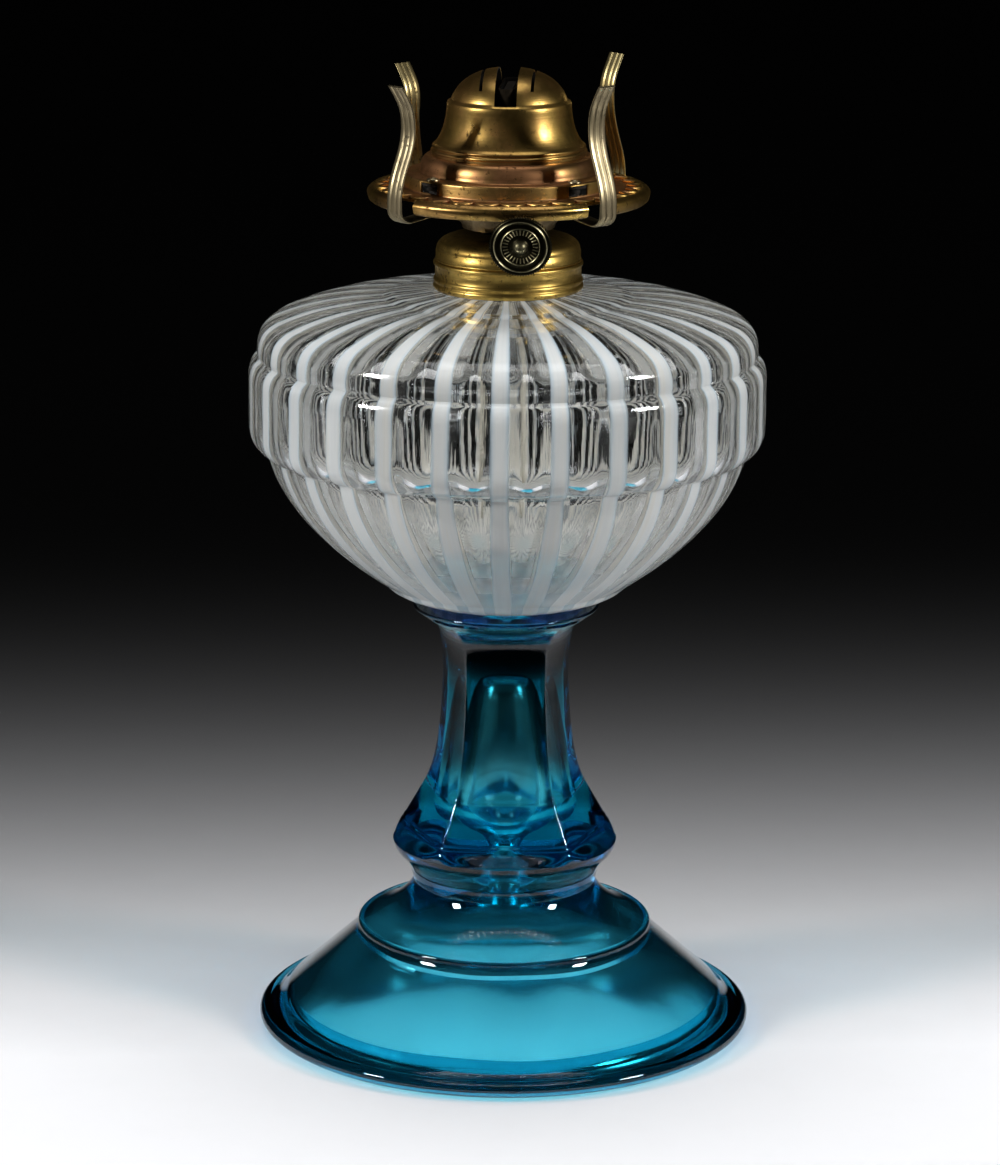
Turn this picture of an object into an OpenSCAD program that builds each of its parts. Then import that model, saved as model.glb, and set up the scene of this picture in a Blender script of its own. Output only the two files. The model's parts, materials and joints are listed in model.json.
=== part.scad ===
// Kerosene table lamp: a striped glass font on a pressed glass stand, with a flat wick burner.
// It stands on z = 0 with its axis on Z. The knob that raises the wick points toward -Y.

/* [Glass stand] */
// Radius of the foot at its rim
foot_r = 73.1; // [70:0.1:78]
// Height of the rounded rim of the foot
rim_h = 5.8; // [5:0.1:7]
// Radius where the cone of the foot runs into the rim
cone_r = 66; // [64:0.1:67]
// Height of the ridge that rings the foot
ridge_z = 31; // [28:0.1:32]
// Radius of the ridge that rings the foot
ridge_r = 43.6; // [40:0.1:46]
// Height of the narrow waist over the ridge
waist_h = 16.5; // [15:0.1:18]
// Radius of the waist
waist_r = 26.5; // [24:0.1:27]
// Height of the knop's round edge over the waist
knop_h = 10.1; // [9.5:0.1:11.5]
// Radius of the knop's round edge
knop_r = 31.9; // [30:0.1:33]
// Number of panels round the stem
panels = 5; // [5:1:6]
// How flat the panels are, from 0 for a round stem to 1 for sharp corners
panel_depth = 0.9; // [0.6:0.05:0.95]
// Radius of the stem at its narrowest
stem_r = 18.2; // [17:0.1:20]
// Height of the narrowest part of the stem over the knop's round edge
stem_h = 46.4; // [42:0.1:50]
// Radius of the cup's lip under the font
lip_r = 27.2; // [26:0.1:29]
// Height of the cup over the narrowest part of the stem, up to the face that carries the font
cup_h = 27; // [25:0.1:29]
// Turn of the stand's panels about the lamp's axis
panel_turn = 4; // [0:1:10]
// Thickness of glass over the hollow of the foot
foot_wall = 5.5; // [4.5:0.1:7]
// Radius of the bore that rises into the stem
bore_r = 7; // [5:0.1:8]
// Thickness of glass between the bore and the floor of the cup
cup_floor = 8.8; // [7:0.1:12]

/* [Font] */
// Largest radius of the font
font_r = 75; // [73:0.1:77]
// Height of the bowl, from the stand to the crease under the upright band
bowl_h = 44.3; // [42:0.1:47]
// Height of the upright band, from the crease to the groove over it
band_h = 28; // [26:0.1:30]
// Height of the upper tier, from the groove to the shoulder at the collar
tier_h = 18.9; // [18.5:0.1:20]
// Thickness of the font's wall
font_wall = 3; // [2.4:0.1:3.6]
// Radius of the opening in the neck
neck_bore = 17.3; // [17.2:0.05:17.4]
// Wall of the neck
neck_wall = 2.6; // [2.2:0.1:2.8]

/* [Collar] */
// Outer radius of the collar
collar_r = 21.4; // [21.2:0.1:22]
// Height of the collar over the font's shoulder
collar_h = 8.6; // [8.2:0.1:9.2]
// Radius of the screw that joins collar and burner
screw_r = 15.8; // [15.6:0.05:15.9]
// Thickness of sheet brass
sheet = 0.6; // [0.5:0.05:0.7]

/* [Burner] */
// Radius of the burner's cap
cap_r = 20.9; // [20.4:0.1:21.4]
// Height of the cap over the collar
cap_h = 7.2; // [6.8:0.1:8.2]
// Radius of the air basket at its floor
basket_r = 13.3; // [13:0.1:14]
// Height of the basket's floor over the cap
basket_lift = 2.3; // [2:0.1:3]
// Holes in one ring of the basket
basket_holes = 20; // [12:2:24]
// Width of the wick
wick_w = 25.4; // [22:0.1:26]
// Thickness of the wick
wick_t = 2.4; // [2:0.1:2.6]
// Free space on each face of the wick in its tube
wick_gap = 0.75; // [0.5:0.05:0.9]
// Depth of the wick tube's mouth below the top of the deflector
mouth_depth = 4.6; // [4:0.1:6]

/* [Wick raiser] */
// Slope of the raiser's shaft, downward to the knob
shaft_tilt = 12; // [8:0.5:14]
// Height of the shaft over the basket's floor, beside the middle of the wick
shaft_h = 10.9; // [10.2:0.1:11.7]
// Radius of the shaft
shaft_r = 1.3; // [1.1:0.05:1.5]
// Distance from the lamp's axis to the middle of the knob
knob_y = 44; // [42.5:0.5:48]
// Radius of the knob
knob_r = 8.75; // [8:0.05:9.2]
// Points on each spur wheel
spur_teeth = 14; // [13:1:18]
// Radius of the spur wheels over their points
spur_r = 5; // [4.6:0.05:5.2]
// How far the wick can be wound down from its place at rest
wick_drop = 12; // [6:1:14]

/* [Gallery and prongs] */
// Outer radius of the gallery
gallery_r = 40.2; // [39.5:0.1:41]
// Height of the flat ring that carries the chimney over the basket's floor
gallery_h = 11.7; // [11.3:0.1:12.1]
// Radius of the chimney's foot that the gallery takes
chimney_r = 38; // [37.6:0.1:38.2]
// Width of a prong
prong_w = 6.2; // [5.6:0.1:6.6]
// Smallest radius inside the sprung prongs
prong_waist = 36.8; // [36:0.1:37.4]
// How far the prongs stand out from the gallery's rim
prong_reach = 2.2; // [1.2:0.1:3]
// Height of the tips of the prongs over the flat ring
prong_h = 32.8; // [30:0.1:35]

/* [Deflector] */
// Radius of the deflector's skirt
skirt_r = 22.2; // [22:0.1:22.6]
// Height of the top of the deflector over the flat ring
dome_h = 34; // [31:0.1:36]
// Width of the slot for the flame
slot_w = 6.3; // [5.6:0.1:7]
// Distance of the two narrow slits from the middle
slit_x = 7.3; // [6.6:0.1:8]
// Width of a narrow slit
slit_w = 0.9; // [0.7:0.1:1.1]

/* [Hidden] */
$fn = 96;

running_gap = 0.3;

// Heights over the table, each from the piece below
waist_z = ridge_z + waist_h;
knop_z = waist_z + knop_h;
stem_z = knop_z + stem_h;
seat_z = stem_z + cup_h;
crease_z = seat_z + bowl_h;
groove_z = crease_z + band_h;
shoulder_z = groove_z + tier_h;
collar_top = shoulder_z + collar_h;
cap_top = collar_top + cap_h;
basket_z = cap_top + basket_lift;
shaft_z = basket_z + shaft_h;
gallery_z = basket_z + gallery_h;
prong_top = gallery_z + prong_h;
dome_top = gallery_z + dome_h;
tube_top = dome_top - mouth_depth;

brass = "#c9a24b";
pale_brass = "#b9ab86";
dark_bronze = "#5a4a34";
teal = "#1a7390";
opal = "#e3e6e4";
plaster = "#d8d2c4";
cotton = "#efe8d8";

// Point on a cubic curve with the handles b and c, and the whole curve in n steps
function curve_point(a, b, c, d, t) =
    pow(1 - t, 3) * a + 3 * pow(1 - t, 2) * t * b + 3 * (1 - t) * t * t * c + pow(t, 3) * d;
function curve(a, b, c, d, n = 10) = [for (i = [0:n]) curve_point(a, b, c, d, i / n)];
// Round corner about a centre, from one angle to another
function arc(cx, cz, r, from, to, n = 8) =
    [for (i = [0:n]) let (a = from + (to - from) * i / n) [cx + r * cos(a), cz + r * sin(a)]];
// Unit normal of a path at point i, and the path moved sideways by d
function unit(v) = v / norm(v);
function along(p, i) = unit(p[min(i + 1, len(p) - 1)] - p[max(i - 1, 0)]);
function beside(p, d) = [for (i = [0:len(p) - 1]) let (u = along(p, i)) p[i] + d * [-u[1], u[0]]];
function reversed(p) = [for (i = [len(p) - 1:-1:0]) p[i]];

module lathe(points) {
    rotate_extrude() polygon(points);
}

// Sheet metal turned about Z: the path is the sheet's outer face, and the metal lies inside it
module spun_sheet(path, t) {
    inner = [for (p = beside(path, t)) [max(p[0], 0), p[1]]];
    lathe(concat(path, reversed(inner)));
}

module stadium(l, w) {
    square([l - w, w], center = true);
    for (s = [-1, 1]) translate([s * (l - w) / 2, 0]) circle(d = w);
}

// Glass stand

foot_top_z = waist_z - 3.2;
stem_flare_z = stem_z + 4;
cup_floor_z = seat_z - 13.5;
knop_foot_z = knop_z - 4.4;
panel_foot_z = knop_z + 3.2;

// Outline of the stem at the corners between its panels, from the waist to the round part under the cup
corner_curve = concat(
    curve([waist_r, waist_z], [waist_r + 0.1, waist_z + 1.8], [knop_r - 2.8, knop_foot_z - 1.6],
          [knop_r - 0.9, knop_foot_z + 0.9], 7),
    curve([knop_r - 0.5, knop_foot_z + 1.8], [knop_r - 0.1, knop_foot_z + 2.8], [knop_r + 0.1, knop_z + 0.4],
          [knop_r - 0.1, knop_z + 1.9], 5),
    curve([knop_r - 0.3, knop_z + 2.4], [knop_r - 1.8, knop_z + 5], [stem_r + 7.6, knop_z + 11],
          [stem_r + 5.2, knop_z + 15.4], 9),
    curve([stem_r + 5.2, knop_z + 15.4], [stem_r + 2.4, knop_z + 21], [stem_r + 0.9, stem_z - 16],
          [stem_r + 0.3, stem_z - 2], 9)
);

// Distance from the axis to the face of a panel, in step with the corners, out to the ledge on the knop
inset = cos(180 / panels);
wide = foot_r + 10;
function share(z) = 1 - panel_depth * (1 - inset) * max(0, min(1, (stem_z - z) / (stem_z - knop_z - 12)));
flank_curve = [
    for (i = [1:len(corner_curve) - 1])
        let (p = (corner_curve[i - 1] + corner_curve[i]) / 2)
            if (p[1] > panel_foot_z + 0.6 && p[1] < stem_z - 8) [p[0] * share(p[1]), p[1]]
];
panel_curve = concat(
    [[wide, -1], [wide, knop_z - 1.4], [knop_r + 1, knop_z - 0.6]],
    curve([knop_r - 0.4, knop_z + 0.3], [knop_r - 3.4, knop_z + 1.2],
          [knop_r * share(knop_z) + 0.2, panel_foot_z - 1.4],
          [knop_r * share(knop_z) - 0.7, panel_foot_z + 0.3], 5),
    flank_curve,
    [[stem_r + 1, stem_z - 1], [wide, stem_flare_z], [wide, seat_z + 1]]
);

cup_curve = concat(
    curve([stem_r + 0.1, stem_z], [stem_r + 0.2, stem_z + 14], [stem_r + 4, stem_z + 17],
          [lip_r - 0.6, seat_z - 3.4], 12),
    arc(lip_r - 0.8, seat_z - 2.6, 0.8, -40, 90, 5),
    [[lip_r - 3, seat_z]]
);

foot_curve = concat(
    [[foot_r - 6.4, 0]],
    curve([foot_r - 5.6, 0.05], [foot_r - 3, 0.4], [foot_r, 1.8], [foot_r, rim_h * 0.56], 7),
    curve([foot_r, rim_h * 0.64], [foot_r, rim_h * 0.85], [foot_r - 1.4, rim_h], [foot_r - 3, rim_h], 6),
    curve([foot_r - 3.2, rim_h], [cone_r + 2.6, rim_h + 0.2], [cone_r + 0.6, rim_h + 1.6],
          [cone_r - 1.8, rim_h + 4.8], 6),
    [[ridge_r + 0.3, ridge_z - 2.2]],
    arc(ridge_r - 1.2, ridge_z, 1.2, -40, 120, 6),
    curve([ridge_r - 3.4, ridge_z + 1.8], [ridge_r - 10.5, ridge_z + 4.6], [waist_r + 1.8, foot_top_z - 4],
          [waist_r + 0.5, foot_top_z], 8)
);

// The hollow that reaches up from the foot into the stem
hollow_r = waist_r - foot_wall - 2.5;
bore_top_z = cup_floor_z - cup_floor;
hollow_curve = concat(
    [[cone_r - 2, -1]],
    curve([cone_r - 2, 0.8], [cone_r - 3, rim_h], [cone_r - 6, rim_h + 3],
          [ridge_r + 1, ridge_z - 2.6 - foot_wall], 6),
    curve([ridge_r - 6, ridge_z + 0.4 - foot_wall], [ridge_r - 12, ridge_z + 3.4 - foot_wall],
          [hollow_r + 1.5, foot_top_z - foot_wall - 2], [hollow_r, waist_z], 8),
    curve([hollow_r, waist_z + 2], [hollow_r - 0.4, knop_z + 10], [bore_r + 2.4, knop_z + 20],
          [bore_r + 1, stem_z - 18], 8),
    [[bore_r + 0.4, stem_z - 10], [bore_r, stem_z - 2]],
    arc(bore_r - 2, bore_top_z - 2, 2, 0, 80, 5),
    [[0, bore_top_z]]
);

module glass_stand() {
    color(teal, 0.6) difference() {
        intersection() {
            lathe(concat([[0, 0]], foot_curve, corner_curve, cup_curve, [[0, seat_z]]));
            panelled_block();
        }
        lathe(concat([[0, -1]], hollow_curve));
        lathe([[0, cup_floor_z], [14.4, cup_floor_z], [15.2, cup_floor_z + 0.8], [20.2, seat_z - 1.2],
               [20.2, seat_z + 1], [0, seat_z + 1]]);
    }
}

// Prism whose sides follow the panels, with one panel toward -Y before it is turned
module panelled_block() {
    intersection_for(i = [0:panels - 1])
        rotate([90, 0, i * 360 / panels - 90 + panel_turn]) linear_extrude(3 * wide, center = true)
            polygon(concat(panel_curve, [[-wide, seat_z + 1], [-wide, -1]]));
}

// Font

bowl_z = seat_z + 5.4;
band_r = font_r;
tier_r = font_r - 2.5;
neck_top = collar_top - 2.4;

font_outer = concat(
    [[lip_r - 3.2, seat_z]],
    curve([lip_r - 3.2, seat_z], [lip_r + 2, seat_z + 0.8], [lip_r + 7.6, seat_z + 2.6],
          [lip_r + 8.6, bowl_z - 0.4], 5),
    curve([lip_r + 9.3, bowl_z], [53, bowl_z + 10.6], [font_r - 8.5, crease_z - 14.8],
          [font_r - 5.3, crease_z - 0.2], 14),
    curve([font_r - 4.8, crease_z + 0.3], [font_r - 1.8, crease_z + 1.2], [band_r - 0.05, crease_z + 4.2],
          [band_r, crease_z + 7.7], 7),
    curve([band_r, groove_z - 6.3], [band_r, groove_z - 3.7], [band_r - 0.8, groove_z - 1.4],
          [tier_r + 0.2, groove_z - 0.6], 6),
    [[tier_r - 0.3, groove_z]],
    curve([tier_r, groove_z + 1.1], [tier_r + 0.1, groove_z + 6.4], [tier_r - 2, groove_z + 8.6],
          [tier_r - 5.5, groove_z + 10.4], 8),
    curve([tier_r - 5.5, groove_z + 10.4], [tier_r - 15, groove_z + 14.4], [48, shoulder_z - 3],
          [37, shoulder_z - 2.3], 8),
    curve([37, shoulder_z - 2.3], [35, shoulder_z - 2], [34.6, shoulder_z - 1.5],
          [32, shoulder_z - 1.2], 4),
    [[collar_r + 2, shoulder_z - 0.3], [collar_r - 1, shoulder_z],
     [neck_bore + neck_wall, shoulder_z + 0.4], [neck_bore + neck_wall, neck_top]]
);

font_floor_z = bowl_z + 4;

font_inner = concat(
    [[0, font_floor_z], [16, font_floor_z]],
    curve([16, font_floor_z], [48, font_floor_z + 4], [font_r - 11, crease_z - 12],
          [font_r - 5.3 - font_wall, crease_z + 1], 12),
    curve([font_r - 5.3 - font_wall, crease_z + 1], [font_r - 4.8 - font_wall, crease_z + 3],
          [band_r - font_wall, crease_z + 4], [band_r - font_wall, crease_z + 9], 6),
    curve([band_r - font_wall, groove_z - 7], [band_r - font_wall, groove_z - 3],
          [tier_r - font_wall, groove_z - 2], [tier_r - font_wall, groove_z + 1], 5),
    curve([tier_r - font_wall, groove_z + 3], [tier_r - font_wall, groove_z + 7],
          [tier_r - 16, groove_z + 10.4], [48, shoulder_z - 4.6 - font_wall], 10),
    curve([48, shoulder_z - 4.6 - font_wall], [34, shoulder_z - 3.4 - font_wall],
          [neck_bore + 1, shoulder_z - font_wall - 1], [neck_bore, shoulder_z + 0.6], 8),
    [[neck_bore, neck_top + 1], [0, neck_top + 1]]
);

module font() {
    color(opal, 0.7) difference() {
        lathe(concat([[0, seat_z]], font_outer, [[0, neck_top]]));
        lathe(font_inner);
    }
}

// Collar

sleeve_r = screw_r + running_gap;
collar_foot_z = shoulder_z + 0.1;

module collar() {
    color(brass) union() {
        spun_sheet(concat(
            [[collar_r - 0.4, collar_foot_z]],
            arc(collar_r - 0.6, collar_foot_z + 1.1, 0.9, -60, 60, 5),
            arc(collar_r - 0.6, collar_foot_z + 2.9, 0.8, -60, 60, 5),
            [[collar_r - 0.3, collar_foot_z + 3.8], [collar_r - 0.3, collar_top - 1.6]],
            arc(collar_r - 0.6, collar_top - 0.8, 0.8, -60, 90, 6),
            [[sleeve_r + sheet / 2, collar_top]]
        ), sheet);
        difference() {
            translate([0, 0, collar_foot_z - 0.6])
                cylinder(r = sleeve_r + sheet, h = collar_top - collar_foot_z + 0.6);
            translate([0, 0, collar_foot_z - 1.6]) cylinder(r = sleeve_r, h = collar_top - collar_foot_z + 3);
        }
    }
}

// Plaster that holds the collar on the neck: it fills the channel round the glass
module collar_plaster() {
    inside = sleeve_r + sheet + 0.05;
    outside = collar_r - 0.3 - sheet - 0.05;
    roof = collar_top - sheet - 0.05;
    color(plaster) lathe([
        [inside, collar_foot_z - 0.4], [neck_bore - 0.05, collar_foot_z - 0.4],
        [neck_bore - 0.05, neck_top + 0.05], [neck_bore + neck_wall + 0.05, neck_top + 0.05],
        [neck_bore + neck_wall + 0.05, collar_foot_z + 1.6], [outside, collar_foot_z + 1.6],
        [outside, roof - 0.6], [outside - 0.8, roof], [inside, roof]
    ]);
}

// Burner body

wall = 0.45;
tube_w = wick_t + 2 * wick_gap + 2 * wall;
tube_l = wick_w + 1 + 2 * wall;
tube_foot = shoulder_z - 2;
vent_x = -tube_w / 2 - 3.4;
vent_r = 1.8;
basket_rim_z = 247.6;
basket_rim_r = basket_r + 1.9;
ring_z = gallery_z + 4.3;
basket_flange_z = ring_z - sheet - 0.05 - wall;
ring_r = 25.6;

module tube_outline(gap = 0) {
    rotate(90) stadium(tube_l + 2 * gap, tube_w + 2 * gap);
}

// Holes where the wick tube and the vent tube pass through a plate
module tube_holes(z, h) {
    translate([0, 0, z]) linear_extrude(h) tube_outline(0.03);
    translate([vent_x, 0, z]) cylinder(r = vent_r + 0.03, h = h);
}

module screw_shell() {
    color(brass) difference() {
        union() {
            translate([0, 0, collar_foot_z + 0.5])
                cylinder(r = screw_r, h = collar_top + sheet - collar_foot_z - 0.5);
            translate([0, 0, collar_top]) cylinder(r = cap_r - 0.1, h = sheet);
            translate([0, 0, collar_top + sheet / 2])
                rotate_extrude() translate([cap_r - 0.1, 0]) circle(r = sheet / 2);
        }
        translate([0, 0, collar_foot_z - 1])
            cylinder(r = screw_r - sheet, h = collar_top - collar_foot_z + 3);
    }
}

module burner_cap() {
    foot = collar_top + sheet;
    color(brass) difference() {
        spun_sheet(concat(
            [[cap_r, foot], [cap_r, foot + 2.2], [cap_r - 0.35, foot + 2.5]],
            curve([cap_r - 0.2, foot + 2.8], [cap_r - 0.3, cap_top - 1.8], [cap_r - 2.6, cap_top - 0.2],
                  [cap_r - 6.4, cap_top], 8),
            [[0, cap_top]]
        ), sheet);
        tube_holes(cap_top - 2, 4);
    }
}

module air_basket() {
    color(pale_brass) difference() {
        spun_sheet(reversed([
            [ring_r + 0.4, basket_flange_z], [ring_r - 0.8, basket_flange_z],
            [ring_r - 0.8, basket_rim_z + 0.6], [basket_rim_r + 0.6, basket_rim_z + 0.6],
            [basket_rim_r, basket_rim_z], [basket_r, basket_z], [0, basket_z]
        ]), wall);
        tube_holes(basket_z - 1, 4);
        on_shaft() translate([0, 0, 8]) cylinder(r = sleeve_outer_r + 0.03, h = 18);
        for (i = [0:basket_holes - 1]) rotate([0, 0, (i + 0.5) * 360 / basket_holes]) {
            for (z = [2.6, 5.4]) translate([basket_r - 3, 0, basket_z + z])
                rotate([0, 90, 0]) cylinder(d = 1.7, h = 6, $fn = 24);
            translate([basket_rim_r + 4.6, 0, basket_rim_z - 1]) cylinder(d = 2, h = 3, $fn = 24);
        }
    }
}

module wick_tube() {
    color(brass) difference() {
        translate([0, 0, tube_foot]) linear_extrude(tube_top - tube_foot) difference() {
            tube_outline();
            rotate(90) stadium(tube_l - 2 * wall, tube_w - 2 * wall);
        }
        for (s = [-1, 1]) on_shaft() translate([tube_w / 2 - shaft_x, 0, s * wheel_gap])
            cube([1.6, 8.4, wheel_t + 1.2], center = true);
    }
}

module vent_tube() {
    foot = cap_top - 3;
    color(brass) translate([vent_x, 0, foot]) difference() {
        cylinder(r = vent_r, h = 25);
        translate([0, 0, -1]) cylinder(r = vent_r - 0.4, h = 27);
    }
}

// Wick raiser

shaft_x = spur_r + wick_t / 2 + 0.2;
sleeve_outer_r = shaft_r + 0.75;
wheel_t = 1.2;
wheel_gap = 6.4;
bracket_y = 9.6;
knob_reach = knob_y / cos(shaft_tilt);

// Puts a part that is drawn round Z onto the shaft's axis, with Z toward the knob
module on_shaft() {
    translate([shaft_x, 0, shaft_z]) rotate([90 + shaft_tilt, 0, 0]) children();
}

module raiser_bracket() {
    left = tube_w / 2 + 0.05;
    right = shaft_x + 3.4;
    color(brass) difference() {
        for (s = [-1, 1]) translate([left, s * bracket_y - 0.4, basket_rim_z + 0.7])
            cube([right - left, 0.8, shaft_z + 4.4 - basket_rim_z]);
        on_shaft() translate([0, 0, -14]) cylinder(r = shaft_r + 0.06, h = 28);
    }
}

module shaft_sleeve() {
    color(brass) on_shaft() translate([0, 0, bracket_y + 1.4]) difference() {
        cylinder(r = sleeve_outer_r, h = 18);
        translate([0, 0, -1]) cylinder(r = shaft_r + 0.06, h = 20);
    }
}

module wick_shaft() {
    color(dark_bronze) on_shaft() translate([0, 0, -bracket_y - 2.2])
        cylinder(r = shaft_r, h = knob_reach + bracket_y + 2.2 - 0.6);
}

module spur_wheel() {
    root_r = spur_r - 1.1;
    step = 180 / spur_teeth;
    difference() {
        union() {
            linear_extrude(wheel_t, center = true) polygon([
                for (i = [0:2 * spur_teeth - 1])
                    let (r = i % 2 == 0 ? spur_r : root_r) r * [cos(i * step), sin(i * step)]
            ]);
            cylinder(r = shaft_r + 0.8, h = wheel_t + 1.6, center = true);
        }
        cylinder(r = shaft_r, h = 6, center = true);
    }
}

module spur_wheel_front() {
    color(brass) on_shaft() translate([0, 0, wheel_gap]) spur_wheel();
}

module spur_wheel_back() {
    color(brass) on_shaft() translate([0, 0, -wheel_gap]) spur_wheel();
}

module thumb_knob() {
    ornament_r = knob_r * 0.62;
    color(dark_bronze) on_shaft() translate([0, 0, knob_reach]) {
        difference() {
            lathe(concat(
                [[shaft_r, -4.6], [shaft_r + 1, -4.6], [shaft_r + 1, -1.2], [knob_r - 0.8, -1.2]],
                arc(knob_r - 0.7, -0.5, 0.7, -80, 60, 5),
                [[knob_r - 1.35, 0.8], [knob_r - 1.7, 0.8], [knob_r - 2, 0.1], [ornament_r + 0.5, 0.1],
                 [ornament_r + 0.2, 0.7], [ornament_r - 0.3, 0.7], [ornament_r - 0.5, 0.4], [2.3, 0.4],
                 [2.1, 0.8]],
                arc(0, 0.2, 2, 20, 90, 6),
                [[0, -0.6], [shaft_r, -0.6]]
            ));
            for (i = [0:35]) rotate([0, 0, i * 10]) translate([knob_r + 0.25, 0, -2])
                cylinder(d = 0.9, h = 4, $fn = 16);
        }
        for (i = [0:7]) rotate([0, 0, i * 45])
            translate([ornament_r * 0.68, 0, 0]) cylinder(d = 1.1, h = 0.75, $fn = 24);
    }
}

wick_foot = font_floor_z + wick_drop + 2;
wick_top = tube_top - 1;

module wick() {
    color(cotton) translate([0, 0, wick_foot]) linear_extrude(wick_top - wick_foot)
        rotate(90) stadium(wick_w, wick_t);
}

// Gallery

rim_r = 1.7;
rim_foot = gallery_z - 3.9;
rivet_r = ring_r + 2.7;
notch_w = prong_w + 4.4;

module round_the_prongs() {
    for (a = [45:90:315]) rotate([0, 0, a]) children();
}

module gallery() {
    color(brass) difference() {
        spun_sheet(concat(
            [[gallery_r - 0.5, rim_foot], [gallery_r - 0.1, rim_foot + 0.6]],
            arc(gallery_r - rim_r, rim_foot + 2.6, rim_r, -20, 78, 7),
            [[chimney_r + 0.1, gallery_z]],
            arc(ring_r + 5.1, gallery_z + 0.7, 0.7, -90, -180, 4),
            arc(ring_r + 3.7, ring_z - 0.7, 0.7, 0, 90, 4),
            [[ring_r + 0.3, ring_z]],
            curve([ring_r, ring_z + 0.3], [ring_r - 0.1, ring_z + 2.6], [skirt_r + 2.4, seat_ring_z + 0.1],
                  [skirt_r + 0.6, seat_ring_z], 8),
            [[spigot_r, seat_ring_z], [spigot_r, seat_ring_z + 2.2]]
        ), sheet);
        round_the_prongs() {
            translate([chimney_r + 0.4, -notch_w / 2, rim_foot - 2]) cube([6, notch_w, 8]);
            translate([ring_r + 2, -prong_w / 2 - 0.4, gallery_z + 0.7]) cube([4, prong_w + 0.8, 2.9]);
            translate([rivet_r, 0, ring_z - 2]) cylinder(r = 1.05, h = 4);
        }
    }
}

module prong_rivets() {
    tab_z = prong_tab_z - rib_t / 2;
    color(pale_brass) round_the_prongs() translate([rivet_r, 0, 0]) difference() {
        union() {
            translate([0, 0, tab_z - 1]) cylinder(r = 1, h = ring_z + 0.1 - tab_z + 1);
            translate([0, 0, tab_z - 1.1]) cylinder(r = 1.6, h = 0.7);
            translate([0, 0, ring_z + 0.02]) rotate_extrude() intersection() {
                translate([1.25, 0]) circle(r = 0.65, $fn = 32);
                square([3, 1]);
            }
        }
        translate([0, 0, tab_z - 2]) cylinder(r = 0.6, h = 8);
    }
}

// Prongs

prong_t = 0.5;
rib_t = 0.85;
prong_foot_z = rim_foot - 2.4;
prong_tab_z = ring_z - sheet - 0.2 - rib_t / 2;

// Middle line of a prong in its own upright plane: tab under the ring, down, out under the rim and up
prong_path = concat(
    [[rivet_r + 1.6, prong_tab_z]],
    arc(ring_r + 2.3, prong_tab_z - 0.8, 0.8, 90, 180, 4),
    arc(ring_r + 3, prong_foot_z + 2.9, 1.5, 180, 262, 5),
    arc(gallery_r + prong_reach - 3.6, prong_foot_z + 3.6, 3.6, -95, 0, 8),
    curve([gallery_r + prong_reach + 0.05, gallery_z + 0.6], [gallery_r + prong_reach - 0.4, gallery_z + 8],
          [prong_waist + 0.4, gallery_z + 13], [prong_waist + 0.4, gallery_z + 21], 10),
    curve([prong_waist + 0.4, gallery_z + 22], [prong_waist + 0.4, gallery_z + 26.5],
          [prong_waist + 2.2, prong_top - 4], [prong_waist + 4.5, prong_top], 7)
);

module prong_strip(w, t) {
    rotate([90, 0, 0]) linear_extrude(w, center = true)
        polygon(concat(beside(prong_path, t / 2), reversed(beside(prong_path, -t / 2))));
}

// One prong: a thin strip stiffened by three lengthwise ribs
module prong(turn) {
    color(pale_brass) rotate([0, 0, turn]) difference() {
        union() {
            prong_strip(prong_w, prong_t);
            for (s = [-1, 0, 1]) translate([0, s * prong_w * 0.34, 0]) prong_strip(prong_w * 0.2, rib_t);
        }
        translate([rivet_r, 0, ring_z - 4]) cylinder(r = 1.35, h = 6);
        translate([rivet_r, 0, ring_z - 4]) cylinder(r = 1.85, h = prong_tab_z - rib_t / 2 - ring_z + 3.9);
    }
}

module prong_right_front() { prong(-45); }
module prong_left_front() { prong(-135); }
module prong_left_back() { prong(135); }
module prong_right_back() { prong(45); }

// Deflector

spigot_r = skirt_r - 1.6;
seat_ring_z = ring_z + 4.9;
slot_foot = dome_top - 9.1;
slit_foot = dome_top - 5.3;

module deflector_dome() {
    foot = seat_ring_z + 0.05;
    color(brass) difference() {
        spun_sheet(concat(
            [[skirt_r, foot], [skirt_r, foot + 0.6]],
            arc(skirt_r - 0.3, foot + 1.2, 0.55, -60, 60, 4),
            [[skirt_r - 0.5, foot + 1.85]],
            arc(skirt_r - 0.7, foot + 2.5, 0.55, -55, 55, 4),
            curve([skirt_r - 0.8, foot + 3.1], [skirt_r - 2.4, foot + 5], [skirt_r - 4.1, foot + 8],
                  [skirt_r - 4.4, slot_foot - 0.9], 9),
            [[skirt_r - 4.6, slot_foot - 0.4], [skirt_r - 5.6, slot_foot + 0.1]],
            curve([skirt_r - 5.7, slot_foot + 0.5], [skirt_r - 7.2, slot_foot + 4.4],
                  [skirt_r - 11.4, dome_top], [0, dome_top], 12)
        ), wall);
        translate([-slot_w / 2, -skirt_r, slot_foot]) cube([slot_w, 2 * skirt_r, dome_top - slot_foot + 1]);
        for (s = [-1, 1]) translate([s * slit_x - slit_w / 2, -skirt_r, slit_foot])
            cube([slit_w, 2 * skirt_r, dome_top - slit_foot + 1]);
    }
}

glass_stand();
font();
collar();
collar_plaster();
screw_shell();
burner_cap();
air_basket();
wick_tube();
vent_tube();
raiser_bracket();
shaft_sleeve();
gallery();
prong_rivets();
deflector_dome();
wick_shaft();
spur_wheel_front();
spur_wheel_back();
thumb_knob();
wick();
prong_right_front();
prong_left_front();
prong_left_back();
prong_right_back();
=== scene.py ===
import json
import math

import bmesh
import bpy
import numpy as np
from mathutils import Euler, Matrix, Vector


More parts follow.
